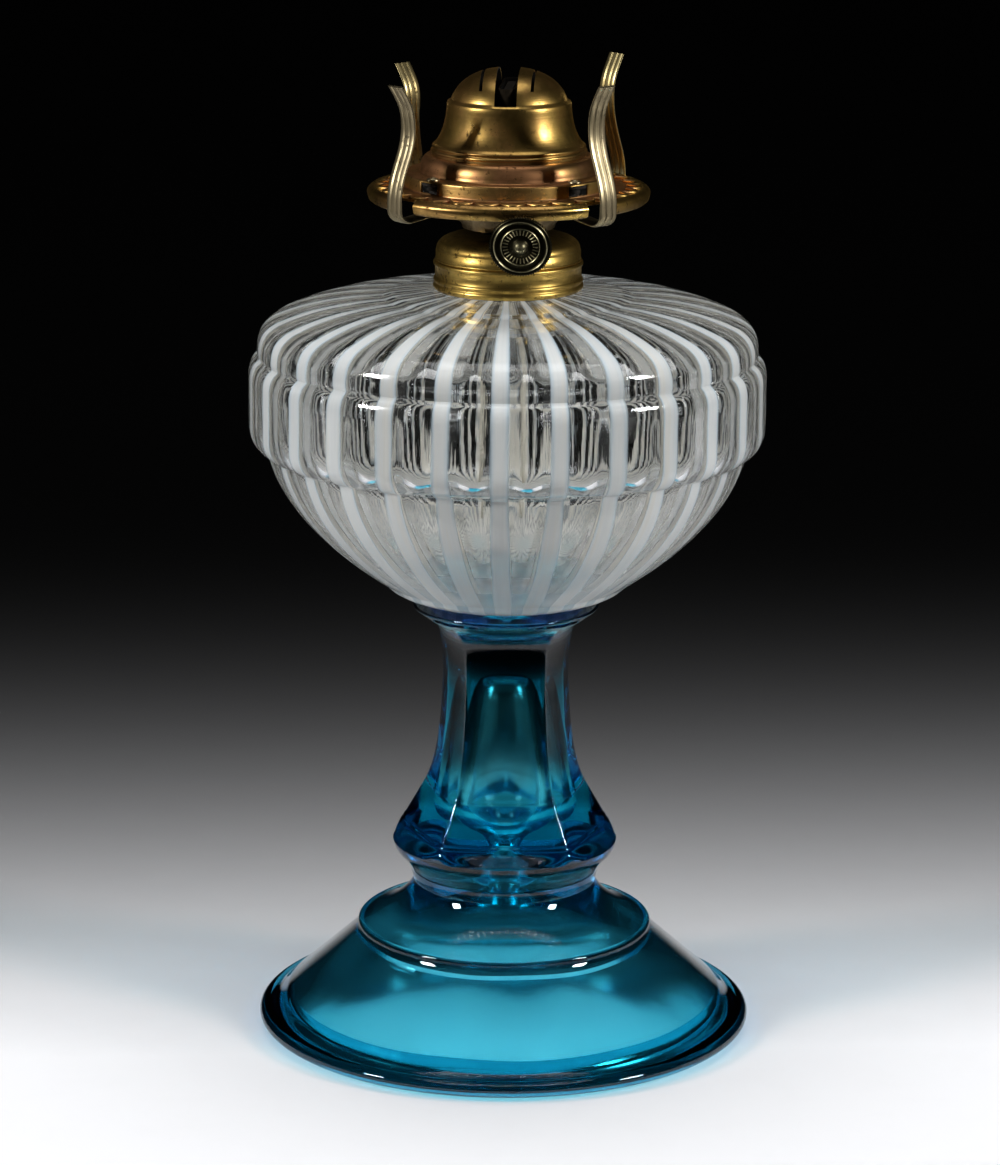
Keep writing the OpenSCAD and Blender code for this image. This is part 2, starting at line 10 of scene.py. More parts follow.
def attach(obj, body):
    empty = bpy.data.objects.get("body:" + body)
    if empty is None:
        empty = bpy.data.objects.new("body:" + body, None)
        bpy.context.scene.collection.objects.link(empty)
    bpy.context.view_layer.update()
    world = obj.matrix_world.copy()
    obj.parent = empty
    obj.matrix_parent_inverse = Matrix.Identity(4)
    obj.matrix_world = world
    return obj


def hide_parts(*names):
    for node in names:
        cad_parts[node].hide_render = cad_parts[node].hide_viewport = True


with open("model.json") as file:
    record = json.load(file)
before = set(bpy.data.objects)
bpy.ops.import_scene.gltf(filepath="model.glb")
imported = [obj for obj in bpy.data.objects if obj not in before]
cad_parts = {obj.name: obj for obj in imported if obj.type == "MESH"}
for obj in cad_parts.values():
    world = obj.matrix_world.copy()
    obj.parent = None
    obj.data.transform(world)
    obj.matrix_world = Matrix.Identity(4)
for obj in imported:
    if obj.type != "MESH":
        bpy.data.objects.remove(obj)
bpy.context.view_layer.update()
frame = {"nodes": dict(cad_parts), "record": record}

bl_info = {
    "name": "Kerosene Lamp",
    "version": (1, 0, 0),
    "blender": (4, 5, 0),
    "location": "3D View > Sidebar > Lamp",
    "description": "A striped glass kerosene lamp on a pressed glass stand",
    "category": "Add Mesh",
}

MM = 0.001
ROUND = 192
HOLLOW_ROUGH = 0.16


# Sizes and colours

class StandSizes(bpy.types.PropertyGroup):
    """Sizes of the blue glass stand, in millimetres"""

    foot_r: bpy.props.FloatProperty(name="Foot radius", description="Radius of the rim of the foot", default=73.1)
    rim_h: bpy.props.FloatProperty(name="Rim height", description="Height of the rounded rim", default=5.8)
    cone_r: bpy.props.FloatProperty(name="Cone radius", description="Radius where the cone meets the rim", default=66)
    ridge_z: bpy.props.FloatProperty(name="Ridge height", description="Height of the ridge on the foot", default=31)
    ridge_r: bpy.props.FloatProperty(name="Ridge radius", description="Radius of the ridge on the foot", default=43.6)
    waist_z: bpy.props.FloatProperty(name="Waist height", description="Height of the waist", default=47.5)
    waist_r: bpy.props.FloatProperty(name="Waist radius", description="Radius of the waist", default=26.5)
    knop_z: bpy.props.FloatProperty(name="Knop height", description="Height of the knop's round edge", default=57.6)
    knop_r: bpy.props.FloatProperty(name="Knop radius", description="Radius of the knop's round edge", default=31.9)
    panels: bpy.props.IntProperty(name="Panels", description="Number of panels round the stem", default=5)
    panel_depth: bpy.props.FloatProperty(name="Panel depth", description="How flat the panels are, from 0 to 1",
                                         default=0.8, subtype="FACTOR")
    stem_r: bpy.props.FloatProperty(name="Stem radius", description="Radius of the stem's narrowest part", default=19)
    stem_z: bpy.props.FloatProperty(name="Stem height", description="Height of the stem's narrowest part", default=104)
    lip_r: bpy.props.FloatProperty(name="Lip radius", description="Radius of the cup under the font", default=27.2)
    seat_z: bpy.props.FloatProperty(name="Seat height", description="Height of the face under the font", default=131)
    panel_turn: bpy.props.FloatProperty(name="Panel turn", description="Turn of the panels about Z, in degrees",
                                        default=4)
    foot_wall: bpy.props.FloatProperty(name="Foot wall", description="Thickness of the glass over the hollow",
                                       default=5.5)
    bore_r: bpy.props.FloatProperty(name="Bore radius", description="Radius of the bore inside the stem", default=7)
    neck_r: bpy.props.FloatProperty(name="Neck radius", description="Radius of the hollow's neck in the knop", default=4.6)
    bore_top: bpy.props.FloatProperty(name="Bore top", description="Height where the bore ends", default=108.7)
    corner: bpy.props.FloatProperty(name="Corner softness", description="How soft the stem's corners are", default=2)
    glass: bpy.props.FloatVectorProperty(name="Glass colour", description="What the blue glass lets through",
                                         subtype="COLOR", default=(0.30, 0.86, 0.915), min=0, max=1)
    # Painted shade: the foot, and the rim more deeply, are given darker glass than the stem, though the stand is one
    # glass.
    foot_glass_painted_shade: bpy.props.FloatVectorProperty(name="Foot colour", description="Colour of the faces of the foot",
                                              subtype="COLOR", default=(0.50, 0.80, 0.87), min=0, max=1)
    rim_glass_painted_shade: bpy.props.FloatVectorProperty(name="Rim colour", description="Colour of the faces of the rim",
                                             subtype="COLOR", default=(0.22, 0.60, 0.74), min=0, max=1)
    depth: bpy.props.FloatProperty(name="Glass density", description="How fast the colour deepens, per metre",
                                   default=200)


class FontSizes(bpy.types.PropertyGroup):
    """Sizes of the striped glass font, in millimetres"""

    font_r: bpy.props.FloatProperty(name="Font radius", description="Largest radius of the font", default=75)
    crease_z: bpy.props.FloatProperty(name="Crease height", description="Height of the crease under the band",
                                      default=175.3)
    groove_z: bpy.props.FloatProperty(name="Groove height", description="Height of the groove above the band",
                                      default=203.3)
    shoulder_z: bpy.props.FloatProperty(name="Shoulder height", description="Height where the shoulder meets the collar",
                                        default=222.2)
    wall: bpy.props.FloatProperty(name="Wall", description="Thickness of the glass", default=3)
    neck_bore: bpy.props.FloatProperty(name="Neck bore", description="Radius of the opening", default=17.3)
    neck_wall: bpy.props.FloatProperty(name="Neck wall", description="Wall of the neck", default=2.6)
    stripes: bpy.props.IntProperty(name="Stripes", description="Number of opal stripes", default=28)
    stripe_turn: bpy.props.FloatProperty(name="Stripe turn", description="Where the first stripe stands, in degrees",
                                         default=-87.5)
    rib_depth: bpy.props.FloatProperty(name="Rib depth", description="How far the ribs stand out inside", default=0.6)
    opal: bpy.props.FloatVectorProperty(name="Opal colour", description="Colour of the opal stripes",
                                        subtype="COLOR", default=(0.76, 0.79, 0.80), min=0, max=1)


class BurnerSizes(bpy.types.PropertyGroup):
    """Sizes of the collar and the burner, in millimetres"""

    collar_r: bpy.props.FloatProperty(name="Collar radius", description="Outer radius of the collar", default=21.4)
    collar_top: bpy.props.FloatProperty(name="Collar top", description="Height of the collar's edge", default=230.8)
    sheet: bpy.props.FloatProperty(name="Sheet", description="Thickness of sheet brass", default=0.6)
    brass: bpy.props.FloatVectorProperty(name="Brass", description="Colour of the polished brass",
                                         subtype="COLOR", default=(0.66, 0.44, 0.115), min=0, max=1)
    pale_brass: bpy.props.FloatVectorProperty(name="Pale brass", description="Colour of the worn prongs",
                                              subtype="COLOR", default=(0.47, 0.385, 0.225), min=0, max=1)
    # Painted light: the two back prongs are the same brass as the front ones, painted lighter and more golden because
    # their inner faces catch the light.
    painted_lit_gold: bpy.props.FloatVectorProperty(name="Golden prong", description="Colour of the two prongs at the back",
                                        subtype="COLOR", default=(0.64, 0.52, 0.25), min=0, max=1)
    tan: bpy.props.FloatVectorProperty(name="Basket", description="Colour of the air basket",
                                       subtype="COLOR", default=(0.40, 0.31, 0.18), min=0, max=1)
    copper: bpy.props.FloatVectorProperty(name="Copper patina", description="Reddish patina on the gallery",
                                          subtype="COLOR", default=(0.40, 0.19, 0.085), min=0, max=1)
    bronze: bpy.props.FloatVectorProperty(name="Bronze", description="Dark ground of the knob",
                                          subtype="COLOR", default=(0.045, 0.038, 0.020), min=0, max=1)
    basket_r: bpy.props.FloatProperty(name="Basket radius", description="Radius of the basket's floor", default=13.3)
    basket_z: bpy.props.FloatProperty(name="Basket height", description="Height of the basket's floor", default=240.3)
    gallery_z: bpy.props.FloatProperty(name="Gallery height", description="Height of the flat ring", default=252)
    gallery_r: bpy.props.FloatProperty(name="Gallery radius", description="Radius of the gallery's rim", default=40.2)
    ring_r: bpy.props.FloatProperty(name="Ring radius", description="Radius of the band that carries the prongs",
                                    default=25.6)
    prong_w: bpy.props.FloatProperty(name="Prong width", description="Width of a prong", default=6.2)
    prong_waist: bpy.props.FloatProperty(name="Prong waist", description="Smallest radius inside the prongs", default=36.8)
    prong_reach: bpy.props.FloatProperty(name="Prong reach", description="How far the prongs stand out from the rim",
                                         default=2.2)
    prong_h: bpy.props.FloatProperty(name="Prong height", description="Height of the tips over the flat ring", default=32.8)
    scallops: bpy.props.IntProperty(name="Scallops", description="Number of scallops round the flat ring", default=30)
    scallop_in: bpy.props.FloatProperty(name="Scallop inside", description="Radius of the scallops' cusps", default=34)
    scallop_out: bpy.props.FloatProperty(name="Scallop outside", description="Radius of the scallops' bows", default=37.6)
    shaft_x: bpy.props.FloatProperty(name="Shaft place", description="Distance of the shaft from the wick's middle",
                                     default=6.4)
    shaft_z: bpy.props.FloatProperty(name="Shaft height", description="Height of the shaft beside the wick", default=251.2)
    shaft_tilt: bpy.props.FloatProperty(name="Shaft slope", description="Slope of the shaft, in degrees", default=12)
    knob_r: bpy.props.FloatProperty(name="Knob radius", description="Radius of the knob", default=8.75)
    knob_reach: bpy.props.FloatProperty(name="Knob reach", description="Distance of the knob along the shaft",
                                        default=44.983)


class StageSizes(bpy.types.PropertyGroup):
    """The camera, the lights and the floor"""

    distance: bpy.props.FloatProperty(name="Camera distance", description="From the lamp's axis, along the floor",
                                      default=1.211, unit="LENGTH")
    height: bpy.props.FloatProperty(name="Camera height", description="Above the floor", default=0.442, unit="LENGTH")
    azimuth: bpy.props.FloatProperty(name="Camera azimuth", description="Round the lamp from -Y, in degrees", default=4)
    pitch: bpy.props.FloatProperty(name="Camera pitch", description="Below the horizon, in degrees", default=14.24)
    lens: bpy.props.FloatProperty(name="Lens", description="Focal length in millimetres", default=131.58)
    floor: bpy.props.FloatVectorProperty(name="Floor", description="Colour of the pale floor",
                                         subtype="COLOR", default=(0.80, 0.80, 0.82), min=0, max=1)


SETTINGS = {"lamp_stand": StandSizes, "lamp_font": FontSizes, "lamp_burner": BurnerSizes, "lamp_stage": StageSizes}


def settings(name):
    return getattr(bpy.context.scene, name)


# Shader maths

class Value:
    """A number from a shader socket that works in Python expressions."""

    def __init__(self, tree, socket):
        self.tree = tree
        self.socket = socket

    def math(self, operation, *others):
        return self.tree.value("ShaderNodeMath", {"operation": operation}, dict(enumerate([self, *others])))

    def __add__(self, other):
        return self.math("ADD", other)

    def __radd__(self, other):
        return self.math("ADD", other)

    def __sub__(self, other):
        return self.math("SUBTRACT", other)

    def __rsub__(self, other):
        return self.tree.value("ShaderNodeMath", {"operation": "SUBTRACT"}, {0: other, 1: self})

    def __mul__(self, other):
        return self.math("MULTIPLY", other)

    def __rmul__(self, other):
        return self.math("MULTIPLY", other)

    def __truediv__(self, other):
        return self.math("DIVIDE", other)

    def __pow__(self, other):
        return self.math("POWER", other)

    def between(self, low, high):
        """0 below low, 1 above high and a smooth step from one to the other."""
        return self.tree.value("ShaderNodeMapRange", {"interpolation_type": "SMOOTHSTEP"},
                               {"Value": self, "From Min": low, "From Max": high})


class Finish:
    """A material whose nodes are added by method calls."""

    def __init__(self, name):
        self.material = bpy.data.materials.new(name)
        self.material.use_nodes = True
        self.nodes = self.material.node_tree.nodes
        self.links = self.material.node_tree.links
        self.nodes.clear()

    def node(self, kind, set_first=None, sockets=None):
        made = self.nodes.new(kind)
        for name, setting in (set_first or {}).items():
            if name == "stops":
                ramp = made.color_ramp
                for i, (place, colour) in enumerate(setting):
                    stop = ramp.elements[i] if i < 2 else ramp.elements.new(place)
                    stop.position, stop.color = place, (*colour, 1)
            else:
                setattr(made, name, setting)
        for name, value in (sockets or {}).items():
            socket = made.inputs[name]
            if isinstance(value, Value):
                self.links.new(value.socket, socket)
            elif isinstance(value, bpy.types.NodeSocket):
                self.links.new(value, socket)
            elif isinstance(socket.default_value, float) or isinstance(socket.default_value, int):
                socket.default_value = value
            else:
                value = tuple(value)
                socket.default_value = value + (1,) * (len(socket.default_value) - len(value))
        return made

    def value(self, kind, set_first=None, sockets=None, out=0):
        return Value(self, self.node(kind, set_first, sockets).outputs[out])

    def place(self):
        """X, Y and Z of the point, in metres."""
        split = self.node("ShaderNodeSeparateXYZ", None,
                          {0: self.node("ShaderNodeTexCoord").outputs["Object"]})
        return [Value(self, split.outputs[i]) for i in range(3)]

    def stretched(self, scale):
        return self.node("ShaderNodeMapping", None, {"Vector": self.node("ShaderNodeTexCoord").outputs["Object"],
                                                     "Scale": scale}).outputs[0]

    def noise(self, scale, detail=3, roughness=0.5, vector=None):
        vector = vector or self.node("ShaderNodeTexCoord").outputs["Object"]
        return self.value("ShaderNodeTexNoise", None,
                          {"Vector": vector, "Scale": scale, "Detail": detail, "Roughness": roughness})

    def mix(self, factor, first, second):
        """A colour between two colours."""
        node = self.node("ShaderNodeMix", {"data_type": "RGBA"})
        for index, value in ((0, factor), (6, first), (7, second)):
            if isinstance(value, Value):
                self.links.new(value.socket, node.inputs[index])
            elif isinstance(value, bpy.types.NodeSocket):
                self.links.new(value, node.inputs[index])
            else:
                node.inputs[index].default_value = value if index == 0 else (*value, 1)
        return node.outputs[2]

    def mark(self):
        """The number that the mesh carries at this point."""
        return self.value("ShaderNodeAttribute", {"attribute_name": "mark"}, None, 2)

    def combine(self, x, y, z):
        return self.node("ShaderNodeCombineXYZ", None, {0: x, 1: y, 2: z}).outputs[0]

    def bump(self, height, distance, strength=1.0):
        return self.node("ShaderNodeBump", None, {"Height": height, "Distance": distance,
                                                  "Strength": strength}).outputs[0]

    def principled(self, sockets):
        return self.node("ShaderNodeBsdfPrincipled", None, sockets).outputs[0]

    def lets_light_in(self, surface, tint):
        """Glass that shadow rays pass, so that what lies behind or inside it is lit."""
        shadow = self.node("ShaderNodeLightPath").outputs["Is Shadow Ray"]
        clear = self.node("ShaderNodeBsdfTransparent", None, {"Color": tint}).outputs[0]
        return self.node("ShaderNodeMixShader", None, {0: shadow, 1: surface, 2: clear}).outputs[0]

    def output(self, surface, volume=None):
        sockets = {"Surface": surface}
        if volume:
            sockets["Volume"] = volume
        self.node("ShaderNodeOutputMaterial", None, sockets)
        return self.material


# Outlines, in millimetres, as (radius, height)

def curve(a, b, c, d, n=10):
    """Points on a cubic curve with the handles b and c."""
    a, b, c, d = map(np.array, (a, b, c, d))
    return [tuple((1 - t) ** 3 * a + 3 * (1 - t) ** 2 * t * b + 3 * (1 - t) * t * t * c + t ** 3 * d)
            for t in np.linspace(0, 1, n + 1)]


def arc(cx, cz, r, start, end, n=8):
    """Points on a round corner, between two angles in degrees."""
    return [(cx + r * math.cos(math.radians(a)), cz + r * math.sin(math.radians(a)))
            for a in np.linspace(start, end, n + 1)]


def through(points, n=6):
    """A smooth line through all the points."""
    padded = [np.array(p, float) for p in (points[0], *points, points[-1])]
    out = []
    for a, b, c, d in zip(padded, padded[1:], padded[2:], padded[3:]):
        out += [tuple(0.5 * (2 * b + (c - a) * t + (2 * a - 5 * b + 4 * c - d) * t * t + (3 * b - a - 3 * c + d) * t ** 3))
                for t in np.linspace(0, 1, n, endpoint=False)]
    return out + [tuple(points[-1])]


def beside(path, distance):
    """The path moved to its left."""
    p = np.array(path, float)
    along = np.gradient(p, axis=0)
    along /= np.linalg.norm(along, axis=1)[:, None]
    return p + distance * np.stack([-along[:, 1], along[:, 0]], 1)


def spread(path, step):
    """The path with extra points, at most a step apart."""
    out = [path[0]]
    for a, b in zip(path, path[1:]):
        n = max(1, math.ceil(math.dist(a, b) / step))
        out += [(a[0] + (b[0] - a[0]) * i / n, a[1] + (b[1] - a[1]) * i / n) for i in range(1, n + 1)]
    return out


# Meshes

def mesh_object(name, vertices, faces, sharp=35, marks=None):
    """A smooth mesh from points in millimetres. marks gives each point a number that a finish can read."""
    mesh = bpy.data.meshes.new(name)
    mesh.from_pydata([tuple(float(x) * MM for x in v) for v in vertices], [], faces)
    if marks is not None:
        mesh.attributes.new("mark", "FLOAT", "POINT").data.foreach_set("value", marks)
    mesh.validate()
    made = bmesh.new()
    made.from_mesh(mesh)
    bmesh.ops.remove_doubles(made, verts=made.verts, dist=1e-7)
    bmesh.ops.recalc_face_normals(made, faces=made.faces)
    made.to_mesh(mesh)
    made.free()
    mesh.polygons.foreach_set("use_smooth", [True] * len(mesh.polygons))
    mesh.set_sharp_from_angle(angle=math.radians(sharp))
    piece = bpy.data.objects.new(name, mesh)
    bpy.context.scene.collection.objects.link(piece)
    return piece


def turned_grid(rings, closed):
    """Faces between rings of vertices: each ring is a list of vertex numbers, one number for a pole."""
    faces = []
    pairs = list(zip(rings, rings[1:])) + ([(rings[-1], rings[0])] if closed else [])
    for low, high in pairs:
        n = max(len(low), len(high))
        for i in range(n):
            j = (i + 1) % n
            if len(low) == 1:
                faces.append((low[0], high[j], high[i]))
            elif len(high) == 1:
                faces.append((low[i], low[j], high[0]))
            else:
                faces.append((low[i], low[j], high[j], high[i]))
    return faces


def turned(name, path, closed=False, radius=None, segments=ROUND, sharp=35, marks=None):
    """A turned piece. radius(r, z, angles, index) may change a ring's points: it returns radii and heights."""
    angles = np.arange(segments) * 2 * math.pi / segments
    vertices, rings, numbers = [], [], []
    for index, (r, z) in enumerate(path):
        if r < 1e-4:
            rings.append([len(vertices)])
            vertices.append((0, 0, z))
        else:
            radii, heights = np.full(segments, r), np.full(segments, z)
            if radius is not None:
                radii, heights = radius(r, z, angles, index)
            rings.append(list(range(len(vertices), len(vertices) + segments)))
            vertices += list(zip(radii * np.cos(angles), radii * np.sin(angles), heights))
        numbers += [marks[index] if marks is not None else 0.0] * (len(vertices) - len(numbers))
    return mesh_object(name, vertices, turned_grid(rings, closed), sharp, numbers if marks is not None else None)


def spun_sheet(name, path, thickness, **options):
    """Sheet metal: the path is the outer face, and the metal lies on its left."""
    inner = [(max(r, 0), z) for r, z in beside(path, thickness)]
    return turned(name, list(path) + inner[::-1], closed=path[-1][0] > 1e-4, **options)


def merged(node, change=None, sharp=32):
    """A copy of a CAD node with its points merged and its round faces smooth. change(points) may move the points.
    The mark is 1 where the metal faces inward or down, as inside a shell. There the finish paints the metal near-black:
    sooty metal inside the burner, and painted shade on faces turned inward or down."""
    mesh = frame["nodes"][node].data.copy()
    made = bmesh.new()
    made.from_mesh(mesh)
    bmesh.ops.remove_doubles(made, verts=made.verts, dist=1e-6)
    made.to_mesh(mesh)
    made.free()
    points, centres, normals = (np.empty(n * 3) for n in (len(mesh.vertices), len(mesh.polygons), len(mesh.polygons)))
    mesh.vertices.foreach_get("co", points)
    mesh.polygons.foreach_get("center", centres)
    mesh.polygons.foreach_get("normal", normals)
    points, centres, normals = points.reshape(-1, 3) / MM, centres.reshape(-1, 3), normals.reshape(-1, 3)
    outward = (normals[:, :2] * centres[:, :2]).sum(1) / np.maximum(np.hypot(centres[:, 0], centres[:, 1]), 1e-6)
    inside = np.clip((-0.15 - outward - 0.6 * normals[:, 2]) * 3, 0, 1)
    mesh.attributes.new("mark", "FLOAT", "FACE").data.foreach_set("value", inside)
    if change is not None:
        mesh.vertices.foreach_set("co", (change(points) * MM).ravel())
    mesh.polygons.foreach_set("use_smooth", [True] * len(mesh.polygons))
    mesh.set_sharp_from_angle(angle=math.radians(sharp))
    piece = bpy.data.objects.new(node + "_finished", mesh)
    bpy.context.scene.collection.objects.link(piece)
    return piece


def body_of(node):
    return next(body for body, nodes in frame["record"]["behaviour"]["bodies"].items() if node in nodes)


def wire_ring_tree():
    """Geometry Nodes: copies of a bent wire round the Z axis."""
    tree = bpy.data.node_groups.get("wires_round_an_axis")
    if tree:
        return tree
    tree = bpy.data.node_groups.new("wires_round_an_axis", "GeometryNodeTree")
    sockets = (("Geometry", "Geometry"), ("Count", "Int"), ("Start", "Vector"), ("Middle", "Vector"), ("End", "Vector"),
               ("Wire radius", "Float"), ("Material", "Material"))
    for name, kind in sockets:
        tree.interface.new_socket(name, in_out="INPUT", socket_type="NodeSocket" + kind)
    tree.interface.new_socket("Geometry", in_out="OUTPUT", socket_type="NodeSocketGeometry")
    sizes = tree.nodes.new("NodeGroupInput").outputs

    def node(kind, inputs, **settings):
        made = tree.nodes.new(kind)
        for name, value in settings.items():
            setattr(made, name, value)
        for name, value in inputs.items():
            if isinstance(value, bpy.types.NodeSocket):
                tree.links.new(value, made.inputs[name])
            else:
                made.inputs[name].default_value = value
        return made.outputs[0]

    line = node("GeometryNodeCurveQuadraticBezier", {"Resolution": 14, "Start": sizes["Start"], "Middle": sizes["Middle"],
                                                     "End": sizes["End"]})
    section = node("GeometryNodeCurvePrimitiveCircle", {"Resolution": 8, "Radius": sizes["Wire radius"]}, mode="RADIUS")
    wire = node("GeometryNodeCurveToMesh", {"Curve": line, "Profile Curve": section, "Fill Caps": True})
    step = node("ShaderNodeMath", {0: 2 * math.pi, 1: sizes["Count"]}, operation="DIVIDE")
    angle = node("ShaderNodeMath", {0: node("GeometryNodeInputIndex", {}), 1: step}, operation="MULTIPLY")
    turn = node("ShaderNodeCombineXYZ", {"Z": angle})
    places = node("GeometryNodePoints", {"Count": sizes["Count"]})
    copies = node("GeometryNodeInstanceOnPoints", {"Points": places, "Instance": wire, "Rotation": turn})
    whole = node("GeometryNodeRealizeInstances", {"Geometry": copies})
    whole = node("GeometryNodeSetMaterial", {"Geometry": whole, "Material": sizes["Material"]})
    tree.links.new(whole, tree.nodes.new("NodeGroupOutput").inputs[0])
    return tree


def wire_ring(name, material, place=None, **sizes):
    """A plain mesh of equal wires round an axis, from the Geometry Nodes tree. Sizes are in millimetres."""
    piece = bpy.data.objects.new(name, bpy.data.meshes.new(name))
    bpy.context.scene.collection.objects.link(piece)
    modifier = piece.modifiers.new("wires", "NODES")
    modifier.node_group = wire_ring_tree()
    values = {"Count": sizes["count"], "Wire radius": sizes["wire"] * MM, "Material": material}
    for key in ("start", "middle", "end"):
        values[key.capitalize()] = [x * MM for x in sizes[key]]
    for item in modifier.node_group.interface.items_tree:
        if item.in_out == "INPUT" and item.name in values:
            modifier[item.identifier] = values[item.name]
    bpy.context.view_layer.update()
    mesh = bpy.data.meshes.new_from_object(piece.evaluated_get(bpy.context.evaluated_depsgraph_get()))
    piece.modifiers.clear()
    piece.data = mesh
    mesh.polygons.foreach_set("use_smooth", [True] * len(mesh.polygons))
    if place is not None:
        mesh.transform(place)
    return piece


def dress(piece, material, body=None, replaces=()):
    piece.data.materials.clear()
    piece.data.materials.append(material)
    if body:
        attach(piece, body)
    if replaces:
        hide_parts(*replaces)
    return piece


# Finishes

def blue_glass():
    s = settings("lamp_stand")
    f = Finish("blue_pressed_glass")
    x, y, z = f.place()
    seams = f.noise(24, 2, 0.5)
    ripple = f.noise(90, 3, 0.6)
    surface = f.principled({
        # Painted shade: darker glass on the rim below 4.5–8.5 mm and on the foot below 40–54 mm, lighter glass on the
        # stem and cup.
        "Base Color": f.mix(z.between(0.040, 0.054), f.mix(z.between(0.0045, 0.0085), s.rim_glass_painted_shade, s.foot_glass_painted_shade),
                            (0.93, 0.985, 1.0)),
        "Roughness": ripple * 0.02 + 0.005 + f.mark() * HOLLOW_ROUGH, "IOR": 1.52,
        "Transmission Weight": 1.0, "Specular IOR Level": 0.5,
        "Normal": f.bump(seams + ripple * 0.12, 0.0009, 0.35),
    })
    volume = f.node("ShaderNodeVolumeAbsorption", None, {"Color": s.glass, "Density": s.depth}).outputs[0]
    return f.output(f.lets_light_in(surface, (0.80, 0.82, 0.83)), volume)


def striped_glass():
    """Clear glass with opal stripes. The mark is 1 on the inside of the wall, where the stripes look creamy."""
    s = settings("lamp_font")
    f = Finish("opal_striped_glass")
    x, y, z = f.place()
    inside = f.mark()
    radius = (x * x + y * y + 1e-8).math("SQRT")
    turn = f.value("ShaderNodeMath", {"operation": "ARCTAN2"}, {0: y, 1: x})
    flow = f.noise(14, 2, 0.5, f.stretched((1, 1, 0.35))) - 0.5
    streak = f.noise(1, 4, 0.65, f.combine(x / radius * 30, y / radius * 30, z * 16))
    fine = f.noise(1, 2, 0.6, f.combine(x / radius * 90, y / radius * 90, z * 30))
    wave = (turn * s.stripes - math.radians(s.stripe_turn) * s.stripes + flow * 0.8).math("COSINE")
    low = 1 - z.between(0.152, 0.1775)
    base = 1 - z.between(0.134, 0.153)
    edge = wave + low * 0.34 + base * 0.60 + (streak - 0.5) * 0.5 + inside * (low * 0.40 - 0.22)
    mask = edge.between(0.42, 0.74)
    veil = base * 0.7
    cover = (mask * (streak * 0.25 + 0.80)).math("MAXIMUM", veil).math("MINIMUM", 1.0)
    blue = f.mix(edge.between(0.55, 0.95), (0.50, 0.64, 0.74), s.opal)
    cream = f.mix(fine.between(0.35, 0.65), (0.66, 0.62, 0.52), (0.76, 0.73, 0.66))
    white = f.mix(inside * 0.8 + (streak.between(0.50, 0.64)) * 0.4, blue, cream)
    normal = f.bump(f.noise(70, 2, 0.5) + streak * 0.25, 0.0006, 0.3)
    opal = f.principled({"Base Color": white, "Roughness": 0.12, "IOR": 1.5, "Coat Weight": 0.4,
                         "Coat Roughness": 0.03, "Normal": normal})
    through = f.node("ShaderNodeBsdfTranslucent", None, {"Color": (0.78, 0.76, 0.70)}).outputs[0]
    milk = f.node("ShaderNodeMixShader", None, {0: 0.24, 1: opal, 2: through}).outputs[0]
    clear = f.principled({"Base Color": (0.985, 0.99, 0.995), "Roughness": 0.0, "IOR": 1.5,
                          "Transmission Weight": 1.0, "Normal": normal})
    clear = f.lets_light_in(clear, (0.50, 0.51, 0.52))
    return f.output(f.node("ShaderNodeMixShader", None, {0: cover, 1: clear, 2: milk}).outputs[0])


def worn_metal(name, colour, dark, red=None, shine=0.31, stains=0.75, redden=None, painted_shade=None, worn=None,
               polish=None, spun=True):
    """Brass with patina: stains, small pits and spinning marks. Without worn, where the mark is 1 the metal is painted
    near-black: sooty inside the burner, and painted shade on faces turned inward or down. redden gives a share of
    copper patina from the distance to the axis and the height. The shade argument gives a share of painted shade from
    the same, where shade falls under the gallery's flat ring. polish gives where the metal shines more. worn is the
    bright colour of rubbed edges, where the mark is 1."""
    f = Finish(name)
    x, y, z = f.place()
    stain = f.noise(75, 6, 0.68)
    cloud = f.noise(26, 3, 0.6)
    speck = f.noise(620, 3, 0.7)
    radius = (x * x + y * y).math("SQRT")
    marks = f.noise(1, 2, 0.5, f.combine(radius * 2600, 0.0, z * 2600))
    streaks = f.noise(1, 3, 0.6, f.combine(radius * 700, 0.0, z * 700))
    shade = f.mix(stain.between(0.38, 0.64) * stains, colour, dark)
    if spun:
        shade = f.mix(streaks.between(0.5, 0.7) * 0.35, shade, dark)
    if red is not None:
        share = cloud.between(0.40, 0.60) * 0.45
        if redden is not None:
            share = share.math("MAXIMUM", redden(radius, z) * (stain.between(0.30, 0.62) * 0.35 + 0.60))
        shade = f.mix(share, shade, red)
    pits = (speck + (cloud - 0.5) * 0.5 + (stain - 0.5) * 0.3).between(0.60, 0.72)
    shade = f.mix(pits * 0.85, shade, tuple(c * 0.2 for c in dark))
    rough = stain.between(0.35, 0.7) * 0.16 + pits * 0.2 + shine
    if worn is not None:
        shade = f.mix(f.mark() * (1 - speck.between(0.5, 0.7) * 0.6), shade, worn)
    else:
        # Near-black where the mark is 1: sooty metal inside the burner, and painted shade on faces turned inward or
        # down.
        soot_and_shade = f.mark()
        # Painted shade from the distance to the axis and the height, on parts under the gallery's flat ring.
        if painted_shade is not None:
            soot_and_shade = soot_and_shade.math("MAXIMUM", painted_shade(radius, z))
        shade = f.mix(soot_and_shade, shade, (0.012, 0.009, 0.006))
        rough = rough + soot_and_shade * 0.5
    height = speck * 0.35 + cloud * 0.6
    if spun:
        height = height + marks * 0.35
    if polish is not None:
        rough = rough - polish(radius, z) * 0.06
    surface = f.principled({"Base Color": shade, "Metallic": 1.0 if worn else 1 - soot_and_shade * 0.95, "Roughness": rough,
                            "Normal": f.bump(height, 0.00012, 0.5)})
    return f.output(surface)


